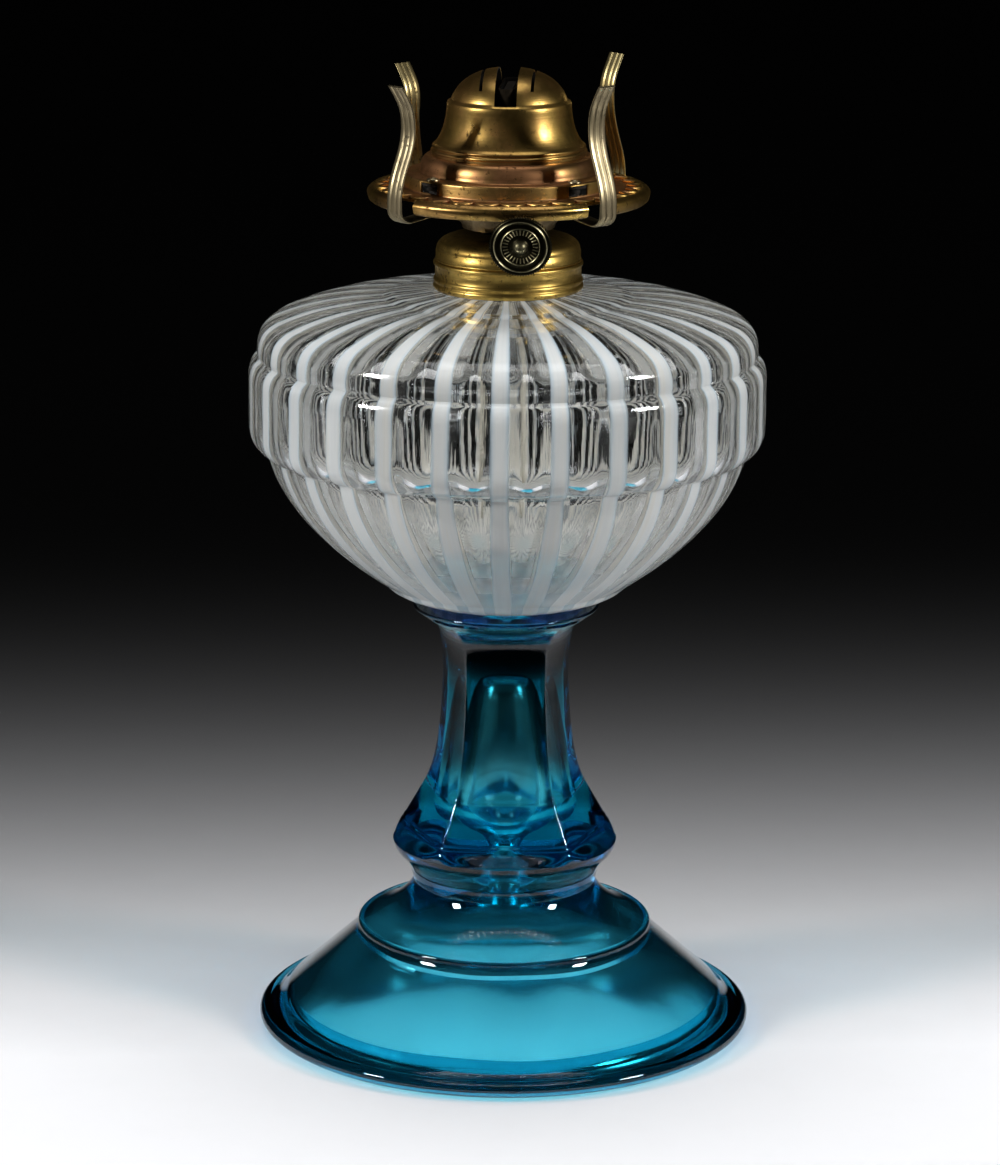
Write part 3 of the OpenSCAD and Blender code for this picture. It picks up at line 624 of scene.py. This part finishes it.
def cotton():
    f = Finish("woven_cotton")
    x, y, z = f.place()
    warp = (y * 5200).math("SINE")
    weft = (z * 4200).math("SINE")
    weave = warp * weft
    char = z.between(0.2660, 0.2765)
    fuzz = f.noise(900, 3, 0.6)
    shade = f.mix(char, (0.70, 0.66, 0.56), (0.012, 0.010, 0.008))
    surface = f.principled({"Base Color": shade, "Roughness": 0.95, "Specular IOR Level": 0.05,
                            "Normal": f.bump(weave * 0.6 + fuzz, 0.0003, 0.8)})
    return f.output(surface)


def plaster():
    f = Finish("old_plaster")
    grain = f.noise(300, 4, 0.6)
    surface = f.principled({"Base Color": f.mix(grain, (0.62, 0.58, 0.50), (0.74, 0.71, 0.64)), "Roughness": 0.9,
                            "Normal": f.bump(grain, 0.0003, 0.6)})
    return f.output(surface)


# Glass stand

def stand_outline(s):
    """The turned outline of the outer face up to the waist, the corners of the panelled stem, and the cup."""
    top = s.waist_z - 3.2
    foot = (
        [(s.foot_r - 6.4, 0.0)]
        + curve((s.foot_r - 5.6, 0.05), (s.foot_r - 3, 0.4), (s.foot_r, 1.8), (s.foot_r, s.rim_h * 0.56), 10)
        + curve((s.foot_r, s.rim_h * 0.64), (s.foot_r, s.rim_h * 0.85), (s.foot_r - 1.4, s.rim_h),
                (s.foot_r - 3, s.rim_h), 8)
        + curve((s.foot_r - 3.2, s.rim_h), (s.cone_r + 2.6, s.rim_h + 0.2), (s.cone_r + 0.6, s.rim_h + 1.6),
                (s.cone_r - 1.8, s.rim_h + 4.8), 8)
        + [(s.ridge_r + 0.3, s.ridge_z - 2.2)]
        + arc(s.ridge_r - 1.2, s.ridge_z, 1.2, -40, 120, 10)
        + curve((s.ridge_r - 3.4, s.ridge_z + 1.8), (s.ridge_r - 10.5, s.ridge_z + 4.6),
                (s.waist_r + 1.8, top - 4), (s.waist_r + 0.5, top), 14)
    )
    under = s.knop_z - 4.4
    stem = (
        curve((s.waist_r, s.waist_z), (s.waist_r + 0.1, s.waist_z + 1.8), (s.knop_r - 2.8, under - 1.6),
              (s.knop_r - 0.9, under + 0.9), 12)
        + curve((s.knop_r - 0.5, under + 1.8), (s.knop_r - 0.1, under + 2.8), (s.knop_r + 0.1, s.knop_z + 0.4),
                (s.knop_r - 0.1, s.knop_z + 1.9), 16)
        + curve((s.knop_r - 0.3, s.knop_z + 2.4), (s.knop_r - 1.8, s.knop_z + 5), (s.stem_r + 7.6, s.knop_z + 11),
                (s.stem_r + 5.2, s.knop_z + 15.4), 26)
        + curve((s.stem_r + 5.2, s.knop_z + 15.5), (s.stem_r + 2.4, s.knop_z + 21), (s.stem_r + 0.9, s.stem_z - 16),
                (s.stem_r + 0.3, s.stem_z - 2), 26)
    )
    cup = (
        curve((s.stem_r + 0.1, s.stem_z), (s.stem_r + 0.1, s.stem_z + 18), (s.stem_r + 2.6, s.stem_z + 20.2),
              (s.lip_r - 0.6, s.seat_z - 3.4), 18)
        + arc(s.lip_r - 0.8, s.seat_z - 2.6, 0.8, -40, 90, 8)
        + [(s.lip_r - 3, s.seat_z)]
    )
    return foot, stem, cup


def stand_inside(s):
    """The socket under the font, and the hollow that reaches up from the foot."""
    floor = s.seat_z - 7.5
    socket = [(20.2, s.seat_z), (20.2, s.seat_z - 1.2), (15.2, floor + 0.6), (14.4, floor), (0, floor)]
    wall = s.foot_wall
    lean = np.array([s.cone_r - 1.8 - s.ridge_r, s.ridge_z - 2.2 - s.rim_h - 4.8])
    across = np.array([-lean[1], -lean[0]]) / np.linalg.norm(lean) * wall
    cone_head = np.array([s.ridge_r + 0.3, s.ridge_z - 2.2]) + across
    hollow = (
        [(s.cone_r - 9, 0), (s.cone_r - 8.6, s.rim_h * 0.43), (s.cone_r - 6.2, s.rim_h + 1.4),
         tuple(cone_head)]
        + through([(s.ridge_r - 3.6, s.ridge_z - 5), (s.ridge_r - 10.6, s.ridge_z - 1), (s.ridge_r - 19.6, s.ridge_z + 4),
                   (s.waist_r - 10.5, s.waist_z - 7.5), (s.waist_r - 17.5, s.waist_z - 4), (s.neck_r + 0.6, s.waist_z - 0.5),
                   (s.neck_r, s.knop_z - 4.6), (s.neck_r + 2.4, s.knop_z - 0.6), (s.bore_r + 5.5, s.knop_z + 3.4),
                   (s.bore_r + 7.8, s.knop_z + 9), (s.bore_r + 6.6, s.knop_z + 18.4), (s.bore_r + 4.4, s.knop_z + 29.4),
                   (s.bore_r + 2.1, s.stem_z - 6), (s.bore_r + 0.4, s.stem_z + 1), (s.bore_r - 1.8, s.bore_top - 0.8),
                   (0, s.bore_top)])
    )
    hollow = spread(hollow, 2)
    return socket, hollow


def soft_min(a, b, softness):
    """The smaller of two values, with a rounded change from one to the other."""
    gap = np.clip((b - a) / softness, -40, 40)
    return a - softness * np.log1p(np.exp(-gap))


def panel_reach(s, z, corner):
    """Distance from the axis to the middle of a panel at a height."""
    inset = math.cos(math.pi / s.panels)
    share = 1 - s.panel_depth * (1 - inset) * min(1, max(0, (s.seat_z - 5 - z) / 5))
    ledge = s.knop_z + 4.2
    if z < s.knop_z - 0.6:
        return corner + 20
    if z < ledge:
        t = (z - (s.knop_z - 0.6)) / (ledge - (s.knop_z - 0.6))
        out, inner = s.knop_r + 1.0, s.knop_r * share - 0.6
        return out + (inner - out) * (1 - (1 - t) ** 2.1)
    return corner * share


def make_stand():
    s = settings("lamp_stand")
    foot, stem, cup = stand_outline(s)
    socket, hollow = stand_inside(s)
    stem = spread(stem, 0.8)
    before = hollow[::-1] + foot
    first, last = len(before), len(before) + len(stem) + len(cup) - 11
    turn = math.radians(s.panel_turn) - math.pi / 2
    step = 2 * math.pi / s.panels

    def panelled(r, z, angles, index):
        radii = np.full(len(angles), float(r))
        if 6 < r and index < len(hollow) - 2:
            reach = min(1, (r - 6) / 30) * min(1, z / 6)
            radii += reach * (0.45 * np.sin(2 * angles + 0.5 + z * 0.06) + 0.35 * np.sin(5 * angles + 2.1 - z * 0.11)
                              + 0.2 * np.sin(9 * angles + z * 0.17))
        if first <= index < last:
            off = (angles - turn + step / 2) % step - step / 2
            rise = min(1, max(0, (z - s.knop_z - 4) / 22))
            softness = s.corner * (1 + 1.1 * rise)
            radii = soft_min(radii, panel_reach(s, z, r) / np.cos(off), softness) + softness * math.log(2)
        return radii, np.full(len(angles), float(z))

    outside = len(foot) + len(stem) + len(cup) + len(socket)
    return turned("blue_glass_stand", before + stem + cup + socket, radius=panelled, segments=240,
                  marks=[1.0] * (len(hollow) - 1) + [0.0] * (outside + 1))


class LAMP_OT_stand(bpy.types.Operator):
    """Makes the blue pressed glass stand"""

    bl_idname = "lamp.stand"
    bl_label = "Glass stand"

    def execute(self, context):
        dress(make_stand(), blue_glass(), "base", ["glass_stand"])
        return {"FINISHED"}


# Font

def font_outline(s, lip, seat, collar_r, collar_top):
    bowl, tier, band = seat + 5.4, s.font_r - 2.5, s.font_r
    top = collar_top - 2.4
    outer = (
        [(0, seat), (lip - 3.2, seat)]
        + curve((lip - 3.0, seat + 0.02), (lip + 2, seat + 0.8), (lip + 7.6, seat + 2.6), (lip + 8.6, bowl - 0.4), 8)
        + curve((lip + 9.3, bowl), (53, bowl + 10.6), (s.font_r - 8.5, s.crease_z - 14.8),
                (s.font_r - 5.3, s.crease_z - 0.2), 26)
        + curve((s.font_r - 4.8, s.crease_z + 0.3), (s.font_r - 1.8, s.crease_z + 1.2), (band - 0.05, s.crease_z + 4.2),
                (band, s.crease_z + 7.7), 12)
        + curve((band, s.groove_z - 6.3), (band, s.groove_z - 3.7), (band - 0.8, s.groove_z - 1.4),
                (tier + 0.2, s.groove_z - 0.6), 10)
        + [(tier - 0.3, s.groove_z)]
        + curve((tier, s.groove_z + 1.1), (tier + 0.1, s.groove_z + 6.4), (tier - 2, s.groove_z + 8.6),
                (tier - 5.5, s.groove_z + 10.4), 12)
        + curve((tier - 6, s.groove_z + 10.6), (tier - 15, s.groove_z + 14.4), (48, s.shoulder_z - 3),
                (37, s.shoulder_z - 2.3), 14)
        + curve((36.7, s.shoulder_z - 2.28), (35, s.shoulder_z - 2), (34.6, s.shoulder_z - 1.5), (32, s.shoulder_z - 1.2), 8)
        + [(collar_r + 2, s.shoulder_z - 0.3), (collar_r - 1, s.shoulder_z),
           (s.neck_bore + s.neck_wall, s.shoulder_z + 0.4), (s.neck_bore + s.neck_wall, top), (s.neck_bore, top)]
    )
    floor = bowl + 4
    wall = s.wall
    inner = (
        [(0, floor), (8, floor)]
        + curve((16, floor), (48, floor + 4), (s.font_r - 11, s.crease_z - 12),
                (s.font_r - 5.3 - wall, s.crease_z + 1), 26)
        + curve((s.font_r - 5.2 - wall, s.crease_z + 1.3), (s.font_r - 4.8 - wall, s.crease_z + 3),
                (band - wall, s.crease_z + 4), (band - wall, s.crease_z + 9), 8)
        + curve((band - wall, s.groove_z - 7), (band - wall, s.groove_z - 3), (tier - wall, s.groove_z - 2),
                (tier - wall, s.groove_z + 1), 8)
        + curve((tier - wall, s.groove_z + 3), (tier - wall, s.groove_z + 7), (tier - 16, s.groove_z + 10.4),
                (48, s.shoulder_z - 4.2 - wall), 14)
        + curve((47.5, s.shoulder_z - 4.2 - wall), (34, s.shoulder_z - 3.2 - wall),
                (s.neck_bore + 1, s.shoulder_z - wall - 1), (s.neck_bore, s.shoulder_z + 0.6), 12)
    )
    return outer, inner


def make_font():
    s, stand, burner = settings("lamp_font"), settings("lamp_stand"), settings("lamp_burner")
    outer, inner = font_outline(s, stand.lip_r, stand.seat_z, burner.collar_r, burner.collar_top)
    outer, inner = spread(outer, 2.5), spread(inner, 2.0)
    path = outer + inner[::-1]
    toward_hollow = beside(inner, 1.0) - np.array(inner)
    toward_hollow = list(toward_hollow[::-1])
    phase = math.radians(s.stripe_turn) * s.stripes

    def ribbed(r, z, angles, index):
        radii, heights = np.full(len(angles), float(r)), np.full(len(angles), float(z))
        if index >= len(outer):
            direction = toward_hollow[index - len(outer)]
            depth = s.rib_depth * min(1, max(0, (r - 20) / 50)) * np.cos(angles * s.stripes - phase)
            radii, heights = radii + depth * direction[0], heights + depth * direction[1]
        return radii, heights

    marks = [0.0] * len(outer) + [1.0] * len(inner)
    return turned("striped_font", path, radius=ribbed, segments=s.stripes * 16, marks=marks)


class LAMP_OT_font(bpy.types.Operator):
    """Makes the font with its opal stripes"""

    bl_idname = "lamp.font"
    bl_label = "Striped font"

    def execute(self, context):
        dress(make_font(), striped_glass(), "base", ["font"])
        return {"FINISHED"}


# Burner

# Direction, turn, lean and stretch of each prong
PRONGS = {"prong_right_front": (-45, 0, 0, 0), "prong_left_front": (-135, 0, 0.8, -0.8),
          "prong_left_back": (135, 8, 0, -1.2), "prong_right_back": (45, -1, -0.6, 2)}


def prong_line(s):
    """The middle line of a prong: a tab under the ring, down, out under the rim and up, as (radius, height)."""
    foot, tab, waist, tip = s.gallery_z - 6.3, s.gallery_z + 3.1, s.prong_waist + 0.4, s.gallery_z + s.prong_h
    reach = s.gallery_r + s.prong_reach
    return spread(
        [(s.ring_r + 4.3, tab)] + arc(s.ring_r + 2.3, tab - 0.8, 0.8, 90, 180, 6)
        + arc(s.ring_r + 3, foot + 2.9, 1.5, 180, 262, 8) + arc(reach - 3.6, foot + 3.6, 3.6, -95, 0, 14)
        + curve((reach + 0.05, s.gallery_z + 0.6), (reach - 0.4, s.gallery_z + 8), (waist, s.gallery_z + 13),
                (waist, s.gallery_z + 21), 24)
        + curve((waist, s.gallery_z + 22), (waist, s.gallery_z + 26.5), (waist + 1.8, tip - 4), (waist + 4.1, tip), 16), 1.2)


def make_prong(node):
    """A prong as it stands on this old lamp: a ribbed strip, turned, leaning and stretched above the gallery."""
    s = settings("lamp_burner")
    angle, turn, lean, stretch = PRONGS[node]
    line = np.array(prong_line(s))
    out = beside(line, -1) - line
    half = s.prong_w / 2
    across = np.linspace(-half, half, 49)
    grooves = sum(np.exp(-((across - c) / 0.26) ** 2) for c in (-0.36 * half, 0.36 * half))
    thick = (0.42 - 0.2 * grooves) * np.sqrt(np.clip(1.04 - (abs(across) / half) ** 6, 0, 1))
    sides = np.concatenate([across, across[::-1]])
    depth = np.concatenate([thick, -thick[::-1]])
    radius = line[:, None, 0] + out[:, None, 0] * depth
    height = line[:, None, 1] + out[:, None, 1] * depth
    share = np.clip((height - s.gallery_z - 1) / 18, 0, 1) * (radius > 34)
    share = share * share * (3 - 2 * share)
    tip = np.clip((height - s.gallery_z - 10) / 22, 0, 1.2)
    radius, height = radius + lean * tip ** 2, height + stretch * tip
    way = np.radians(angle + turn * share)
    vertices = np.stack([radius * np.cos(way) - sides * np.sin(way), radius * np.sin(way) + sides * np.cos(way), height], 2)
    n = len(sides)
    rings = [list(range(i * n, i * n + n)) for i in range(len(line))]
    faces = turned_grid(rings, False) + [tuple(rings[0]), tuple(rings[-1])]
    return mesh_object(node + "_finished", vertices.reshape(-1, 3), faces, 50)


def round_rim(points):
    """The gallery's rim bulges, so that it catches the light from above and from the font."""
    radius = np.hypot(points[:, 0], points[:, 1])
    rim = (radius > 38.3) & (points[:, 2] < 251.95)
    scale = np.where(rim, (radius + 0.5 - 0.75 * ((points[:, 2] - 250.2) / 2.1) ** 2) / radius, 1)
    return points * np.stack([scale, scale, np.ones(len(points))], 1)


def shaft_place(reach):
    """Puts a piece drawn round Z onto the raiser's shaft, at a distance from its middle."""
    s = settings("lamp_burner")
    return (Matrix.Translation((s.shaft_x * MM, 0, s.shaft_z * MM)) @ Matrix.Rotation(math.radians(90 + s.shaft_tilt), 4, "X")
            @ Matrix.Translation((0, 0, reach * MM)))


def make_knob(s, bronze, edge):
    """The knob: a turned button with two thin rings, a hub, a ring of short rays and a knurled edge."""
    r = s.knob_r
    path, marks = [], []
    for mark, points in (
        (0, [(0, -4.6), (2.3, -4.6), (2.3, -1.2), (r - 0.8, -1.2)]),
        (0, arc(r - 0.8, -0.4, 0.7, -80, 70, 7)),
        (0, [(7.72, 0.12), (7.6, 0.2)]), (1, [(7.5, 0.5), (7.38, 0.58), (7.26, 0.5)]), (0, [(7.16, 0.1), (7, 0)]),
        (0, [(5.7, 0), (5.58, 0.1)]), (1, [(5.5, 0.36), (5.4, 0.42), (5.3, 0.36)]), (0, [(5.2, 0), (5, -0.1)]),
        (0, [(2.3, -0.1), (2.1, 0.1)]), (0.4, arc(0, 0.2, 1.95, 15, 60, 5)), (0.9, arc(0, 0.2, 1.95, 68, 90, 3)),
    ):
        path += points
        marks += [mark] * len(points)
    path[-1] = (0, path[-1][1])
    knob = turned("knob", path, segments=128, sharp=50, marks=marks)
    place = shaft_place(s.knob_reach)
    knob.data.transform(place)
    rays = wire_ring("knob_rays", edge, place, count=28, start=(3.5, 0, -0.08), middle=(4.2, 0, 0.05), end=(4.95, 0, -0.02),
                     wire=0.17)
    knurl = wire_ring("knob_knurl", bronze, place, count=72, start=(r - 0.16, 0, -1.0), middle=(r - 0.08, 0, -0.5),
                      end=(r - 0.16, 0, 0.0), wire=0.2)
    return knob, rays, knurl


class LAMP_OT_burner(bpy.types.Operator):
    """Makes the brass of the collar and the burner"""

    bl_idname = "lamp.burner"
    bl_label = "Burner"

    def execute(self, context):
        s = settings("lamp_burner")
        dark_brass = (0.15, 0.085, 0.018)
        brass = worn_metal("yellow_brass", s.brass, dark_brass, stains=0.7, shine=0.29)
        bell = worn_metal("bell_brass", s.brass, (0.26, 0.14, 0.035), s.copper, shine=0.27, stains=0.8,
                          redden=lambda radius, z: (1 - z.between(0.2615, 0.2665)) * 0.5 + z.between(0.276, 0.281) * 0.3)
        gallery = worn_metal("reddened_brass", s.brass, dark_brass, s.copper, redden=lambda radius, z:
                             (1 - radius.between(0.0355, 0.0378)) * (1 - radius.between(0.0297, 0.0300) * 0.75
                              * (1 - radius.between(0.0306, 0.0312)) * z.between(0.2525, 0.2530)),
                             polish=lambda radius, z: radius.between(0.0383, 0.0388))
        # Painted shade on all four prongs: they go near-black nearer than 30–33 mm to the axis, on the tabs under the
        # flat ring.
        prong = worn_metal("worn_prong", s.pale_brass, (0.20, 0.16, 0.10), shine=0.32, stains=0.7, spun=False,
                           painted_shade=lambda radius, z: 1 - radius.between(0.0300, 0.0330))
        # Painted light: the back prongs get a lighter, more golden copy of the prong finish.
        painted_lit_prong = worn_metal("golden_prong", s.painted_lit_gold, (0.30, 0.21, 0.08), shine=0.3, spun=False,
                                painted_shade=lambda radius, z: 1 - radius.between(0.0300, 0.0330))
        # Painted shade: the eyelets go near-black below 255.8 mm, under the flat ring.
        eyelet = worn_metal("eyelet_brass", s.pale_brass, (0.2, 0.15, 0.08), shine=0.3,
                            painted_shade=lambda radius, z: 1 - z.between(0.2558, 0.2563))
        # Painted shade: the air basket goes near-black above 247.8–249 mm, under the gallery.
        tan = worn_metal("tan_brass", s.tan, (0.16, 0.12, 0.07), shine=0.42, painted_shade=lambda radius, z: z.between(0.2478, 0.249))
        sooty = worn_metal("sooty_brass", (0.035, 0.027, 0.018), (0.015, 0.012, 0.008), shine=0.75)
        edge = worn_metal("rubbed_bronze", (0.46, 0.41, 0.24), (0.2, 0.16, 0.08), shine=0.3)
        bronze = worn_metal("dark_bronze", s.bronze, (0.02, 0.018, 0.010), shine=0.28, worn=(0.46, 0.41, 0.24))
        finishes = {
            "collar": (brass, "brass"), "screw_shell": (brass, "brass"), "burner_cap": (brass, "brass"),
            "air_basket": (tan, "pale_brass"), "wick_tube": (sooty, "brass"), "vent_tube": (sooty, "brass"),
            "raiser_bracket": (sooty, "brass"), "shaft_sleeve": (sooty, "brass"), "gallery": (gallery, "brass"),
            "prong_rivets": (eyelet, "pale_brass"), "deflector_dome": (bell, "brass"),
            "wick_shaft": (sooty, "bronze"), "spur_wheel_front": (sooty, "brass"),
            "spur_wheel_back": (sooty, "brass"),
            "prong_right_front": (prong, "pale_brass"), "prong_left_front": (prong, "pale_brass"),
            "prong_left_back": (painted_lit_prong, "pale_brass"), "prong_right_back": (painted_lit_prong, "pale_brass"),
            "collar_plaster": (plaster(), "plaster"), "wick": (cotton(), "cotton"),
        }
        for node, (material, slot) in finishes.items():
            if node in PRONGS:
                piece = make_prong(node)
            else:
                piece = merged(node, round_rim if node == "gallery" else None)
            dress(piece, material, body_of(node), [node])
        knob, rays, knurl = make_knob(s, bronze, edge)
        dress(knob, bronze, "raiser", ["thumb_knob"])
        dress(rays, edge, "raiser")
        dress(knurl, bronze, "raiser")
        half = s.scallop_in * math.sin(math.pi / s.scallops)
        level = s.gallery_z + 0.1
        scallops = wire_ring("gallery_scallops", gallery, count=s.scallops, start=(s.scallop_in, -half, level + 0.2),
                             middle=(2 * s.scallop_out - s.scallop_in, 0, level - 0.2),
                             end=(s.scallop_in, half, level + 0.2), wire=0.6)
        dress(scallops, gallery, "burner")
        wall = [(s.basket_r + 0.46, s.basket_z + 1.6), (s.basket_r + 1.42, s.basket_z + 5.2), (s.basket_r + 1.9, s.basket_z + 6.9)]
        band = spun_sheet("basket_band", [(r + 0.32, z) for r, z in wall], 0.28)
        dress(band, tan, "burner")
        return {"FINISHED"}


# Stage

def softbox(name, place, aim, width, height, power):
    light = bpy.data.lights.new(name, "AREA")
    light.shape, light.size, light.size_y, light.energy = "RECTANGLE", width, height, power
    lamp = bpy.data.objects.new(name, light)
    lamp.location = place
    lamp.rotation_euler = (Vector(aim) - Vector(place)).to_track_quat("-Z", "Y").to_euler()
    bpy.context.scene.collection.objects.link(lamp)
    return lamp


def floor_finish(colour):
    """A pale floor with painted shade: it fades to black away from the camera, a little faster on the left, standing in
    for the fall-off of the light. It also goes black nearer the camera than 0.165 m in front of the lamp.
    """
    s = settings("lamp_stage")
    f = Finish("pale_floor")
    x, y, z = f.place()
    turn = math.radians(s.azimuth)
    ahead = y * math.cos(turn) - x * (math.sin(turn) + 0.06)
    away = (ahead + 0.03).math("MAXIMUM", 0.0)
    # Painted shade for the fall-off of the light away from the camera; the floor also goes black in front of the lamp.
    painted_falloff = (away * -4.2 - away * away * 10.5).math("EXPONENT") * ahead.between(-0.165, -0.118)
    grain = f.noise(55, 4, 0.6) * 0.05 + 0.975
    shade = f.mix(painted_falloff * grain, (0.0015, 0.0015, 0.0015), colour)
    return f.output(f.principled({"Base Color": shade, "Roughness": 0.9, "Specular IOR Level": 0.0}))


def dark_room(fill):
    """A grey fill light. What the camera, metal and glass see of it is black, as in a dark studio."""
    world = bpy.data.worlds.new("dark_room")
    world.use_nodes = True
    tree = world.node_tree
    tree.nodes.clear()
    path = tree.nodes.new("ShaderNodeLightPath")

    def maths(operation, first, second):
        node = tree.nodes.new("ShaderNodeMath")
        node.operation = operation
        for socket, value in zip(node.inputs, (first, second)):
            if isinstance(value, float):
                socket.default_value = value
            else:
                tree.links.new(value, socket)
        return node.outputs[0]

    seen = maths("MAXIMUM", path.outputs["Is Camera Ray"], path.outputs["Is Glossy Ray"])
    seen = maths("MAXIMUM", seen, path.outputs["Is Transmission Ray"])
    direct = maths("LESS_THAN", path.outputs["Diffuse Depth"], 0.5)
    grey, black = tree.nodes.new("ShaderNodeBackground"), tree.nodes.new("ShaderNodeBackground")
    grey.inputs[0].default_value, grey.inputs[1].default_value = (1, 1, 1, 1), fill
    black.inputs[0].default_value, black.inputs[1].default_value = (0.0015, 0.0015, 0.0015, 1), 1
    mix, out = tree.nodes.new("ShaderNodeMixShader"), tree.nodes.new("ShaderNodeOutputWorld")
    tree.links.new(maths("MULTIPLY", seen, direct), mix.inputs[0])
    tree.links.new(grey.outputs[0], mix.inputs[1])
    tree.links.new(black.outputs[0], mix.inputs[2])
    tree.links.new(mix.outputs[0], out.inputs[0])
    bpy.context.scene.world = world


class LAMP_OT_stage(bpy.types.Operator):
    """Makes the camera, the pale floor and the studio lights"""

    bl_idname = "lamp.stage"
    bl_label = "Stage"

    def execute(self, context):
        s = settings("lamp_stage")
        turn = math.radians(s.azimuth)
        camera = bpy.data.objects.new("camera", bpy.data.cameras.new("camera"))
        camera.data.lens = s.lens
        camera.location = (s.distance * math.sin(turn), -s.distance * math.cos(turn), s.height)
        look = Euler((math.radians(90 - s.pitch), 0, turn + math.radians(0.086))).to_matrix()
        camera.rotation_euler = (look @ Matrix.Rotation(math.radians(0.35), 3, "Z")).to_euler()
        context.scene.collection.objects.link(camera)
        context.scene.camera = camera
        context.scene.view_settings.view_transform = "Standard"

        floor = mesh_object("floor", [(-4000, -4000, -0.1), (4000, -4000, -0.1), (4000, 4000, -0.1), (-4000, 4000, -0.1)],
                            [(0, 1, 2, 3)])
        floor.data.materials.append(floor_finish(s.floor))
        dark_room(0.28)
        for side in (-1, 1):
            across = turn + side * math.radians(64)
            place = (1.25 * math.sin(across), -1.25 * math.cos(across), 0.72)
            softbox("softbox_left" if side < 0 else "softbox_right", place, (0, 0, 0.15), 0.24, 0.28, 11.5)
        softbox("top_light", (0.0, 0.1, 1.5), (0, -0.1, 0), 0.9, 0.6, 3)
        softbox("top_fill", (0.0, 0.1, 1.52), (0, -0.1, 0), 0.9, 0.6, 6.4).visible_glossy = False
        return {"FINISHED"}


class LAMP_PT_panel(bpy.types.Panel):
    """Lists the parts of the lamp"""

    bl_idname = "LAMP_PT_panel"
    bl_label = "Kerosene lamp"
    bl_space_type = "VIEW_3D"
    bl_region_type = "UI"
    bl_category = "Lamp"

    def draw(self, context):
        for operator in OPERATORS:
            self.layout.operator(operator.bl_idname)


OPERATORS = (LAMP_OT_stage, LAMP_OT_stand, LAMP_OT_font, LAMP_OT_burner)


def register():
    for name, group in SETTINGS.items():
        bpy.utils.register_class(group)
        setattr(bpy.types.Scene, name, bpy.props.PointerProperty(type=group))
    for item in (*OPERATORS, LAMP_PT_panel):
        bpy.utils.register_class(item)


def unregister():
    for item in reversed((*OPERATORS, LAMP_PT_panel)):
        bpy.utils.unregister_class(item)
    for name, group in SETTINGS.items():
        delattr(bpy.types.Scene, name)
        bpy.utils.unregister_class(group)


def main():
    register()
    bpy.ops.lamp.stage()
    bpy.ops.lamp.stand()
    bpy.ops.lamp.font()
    bpy.ops.lamp.burner()


if __name__ == "__main__":
    main()
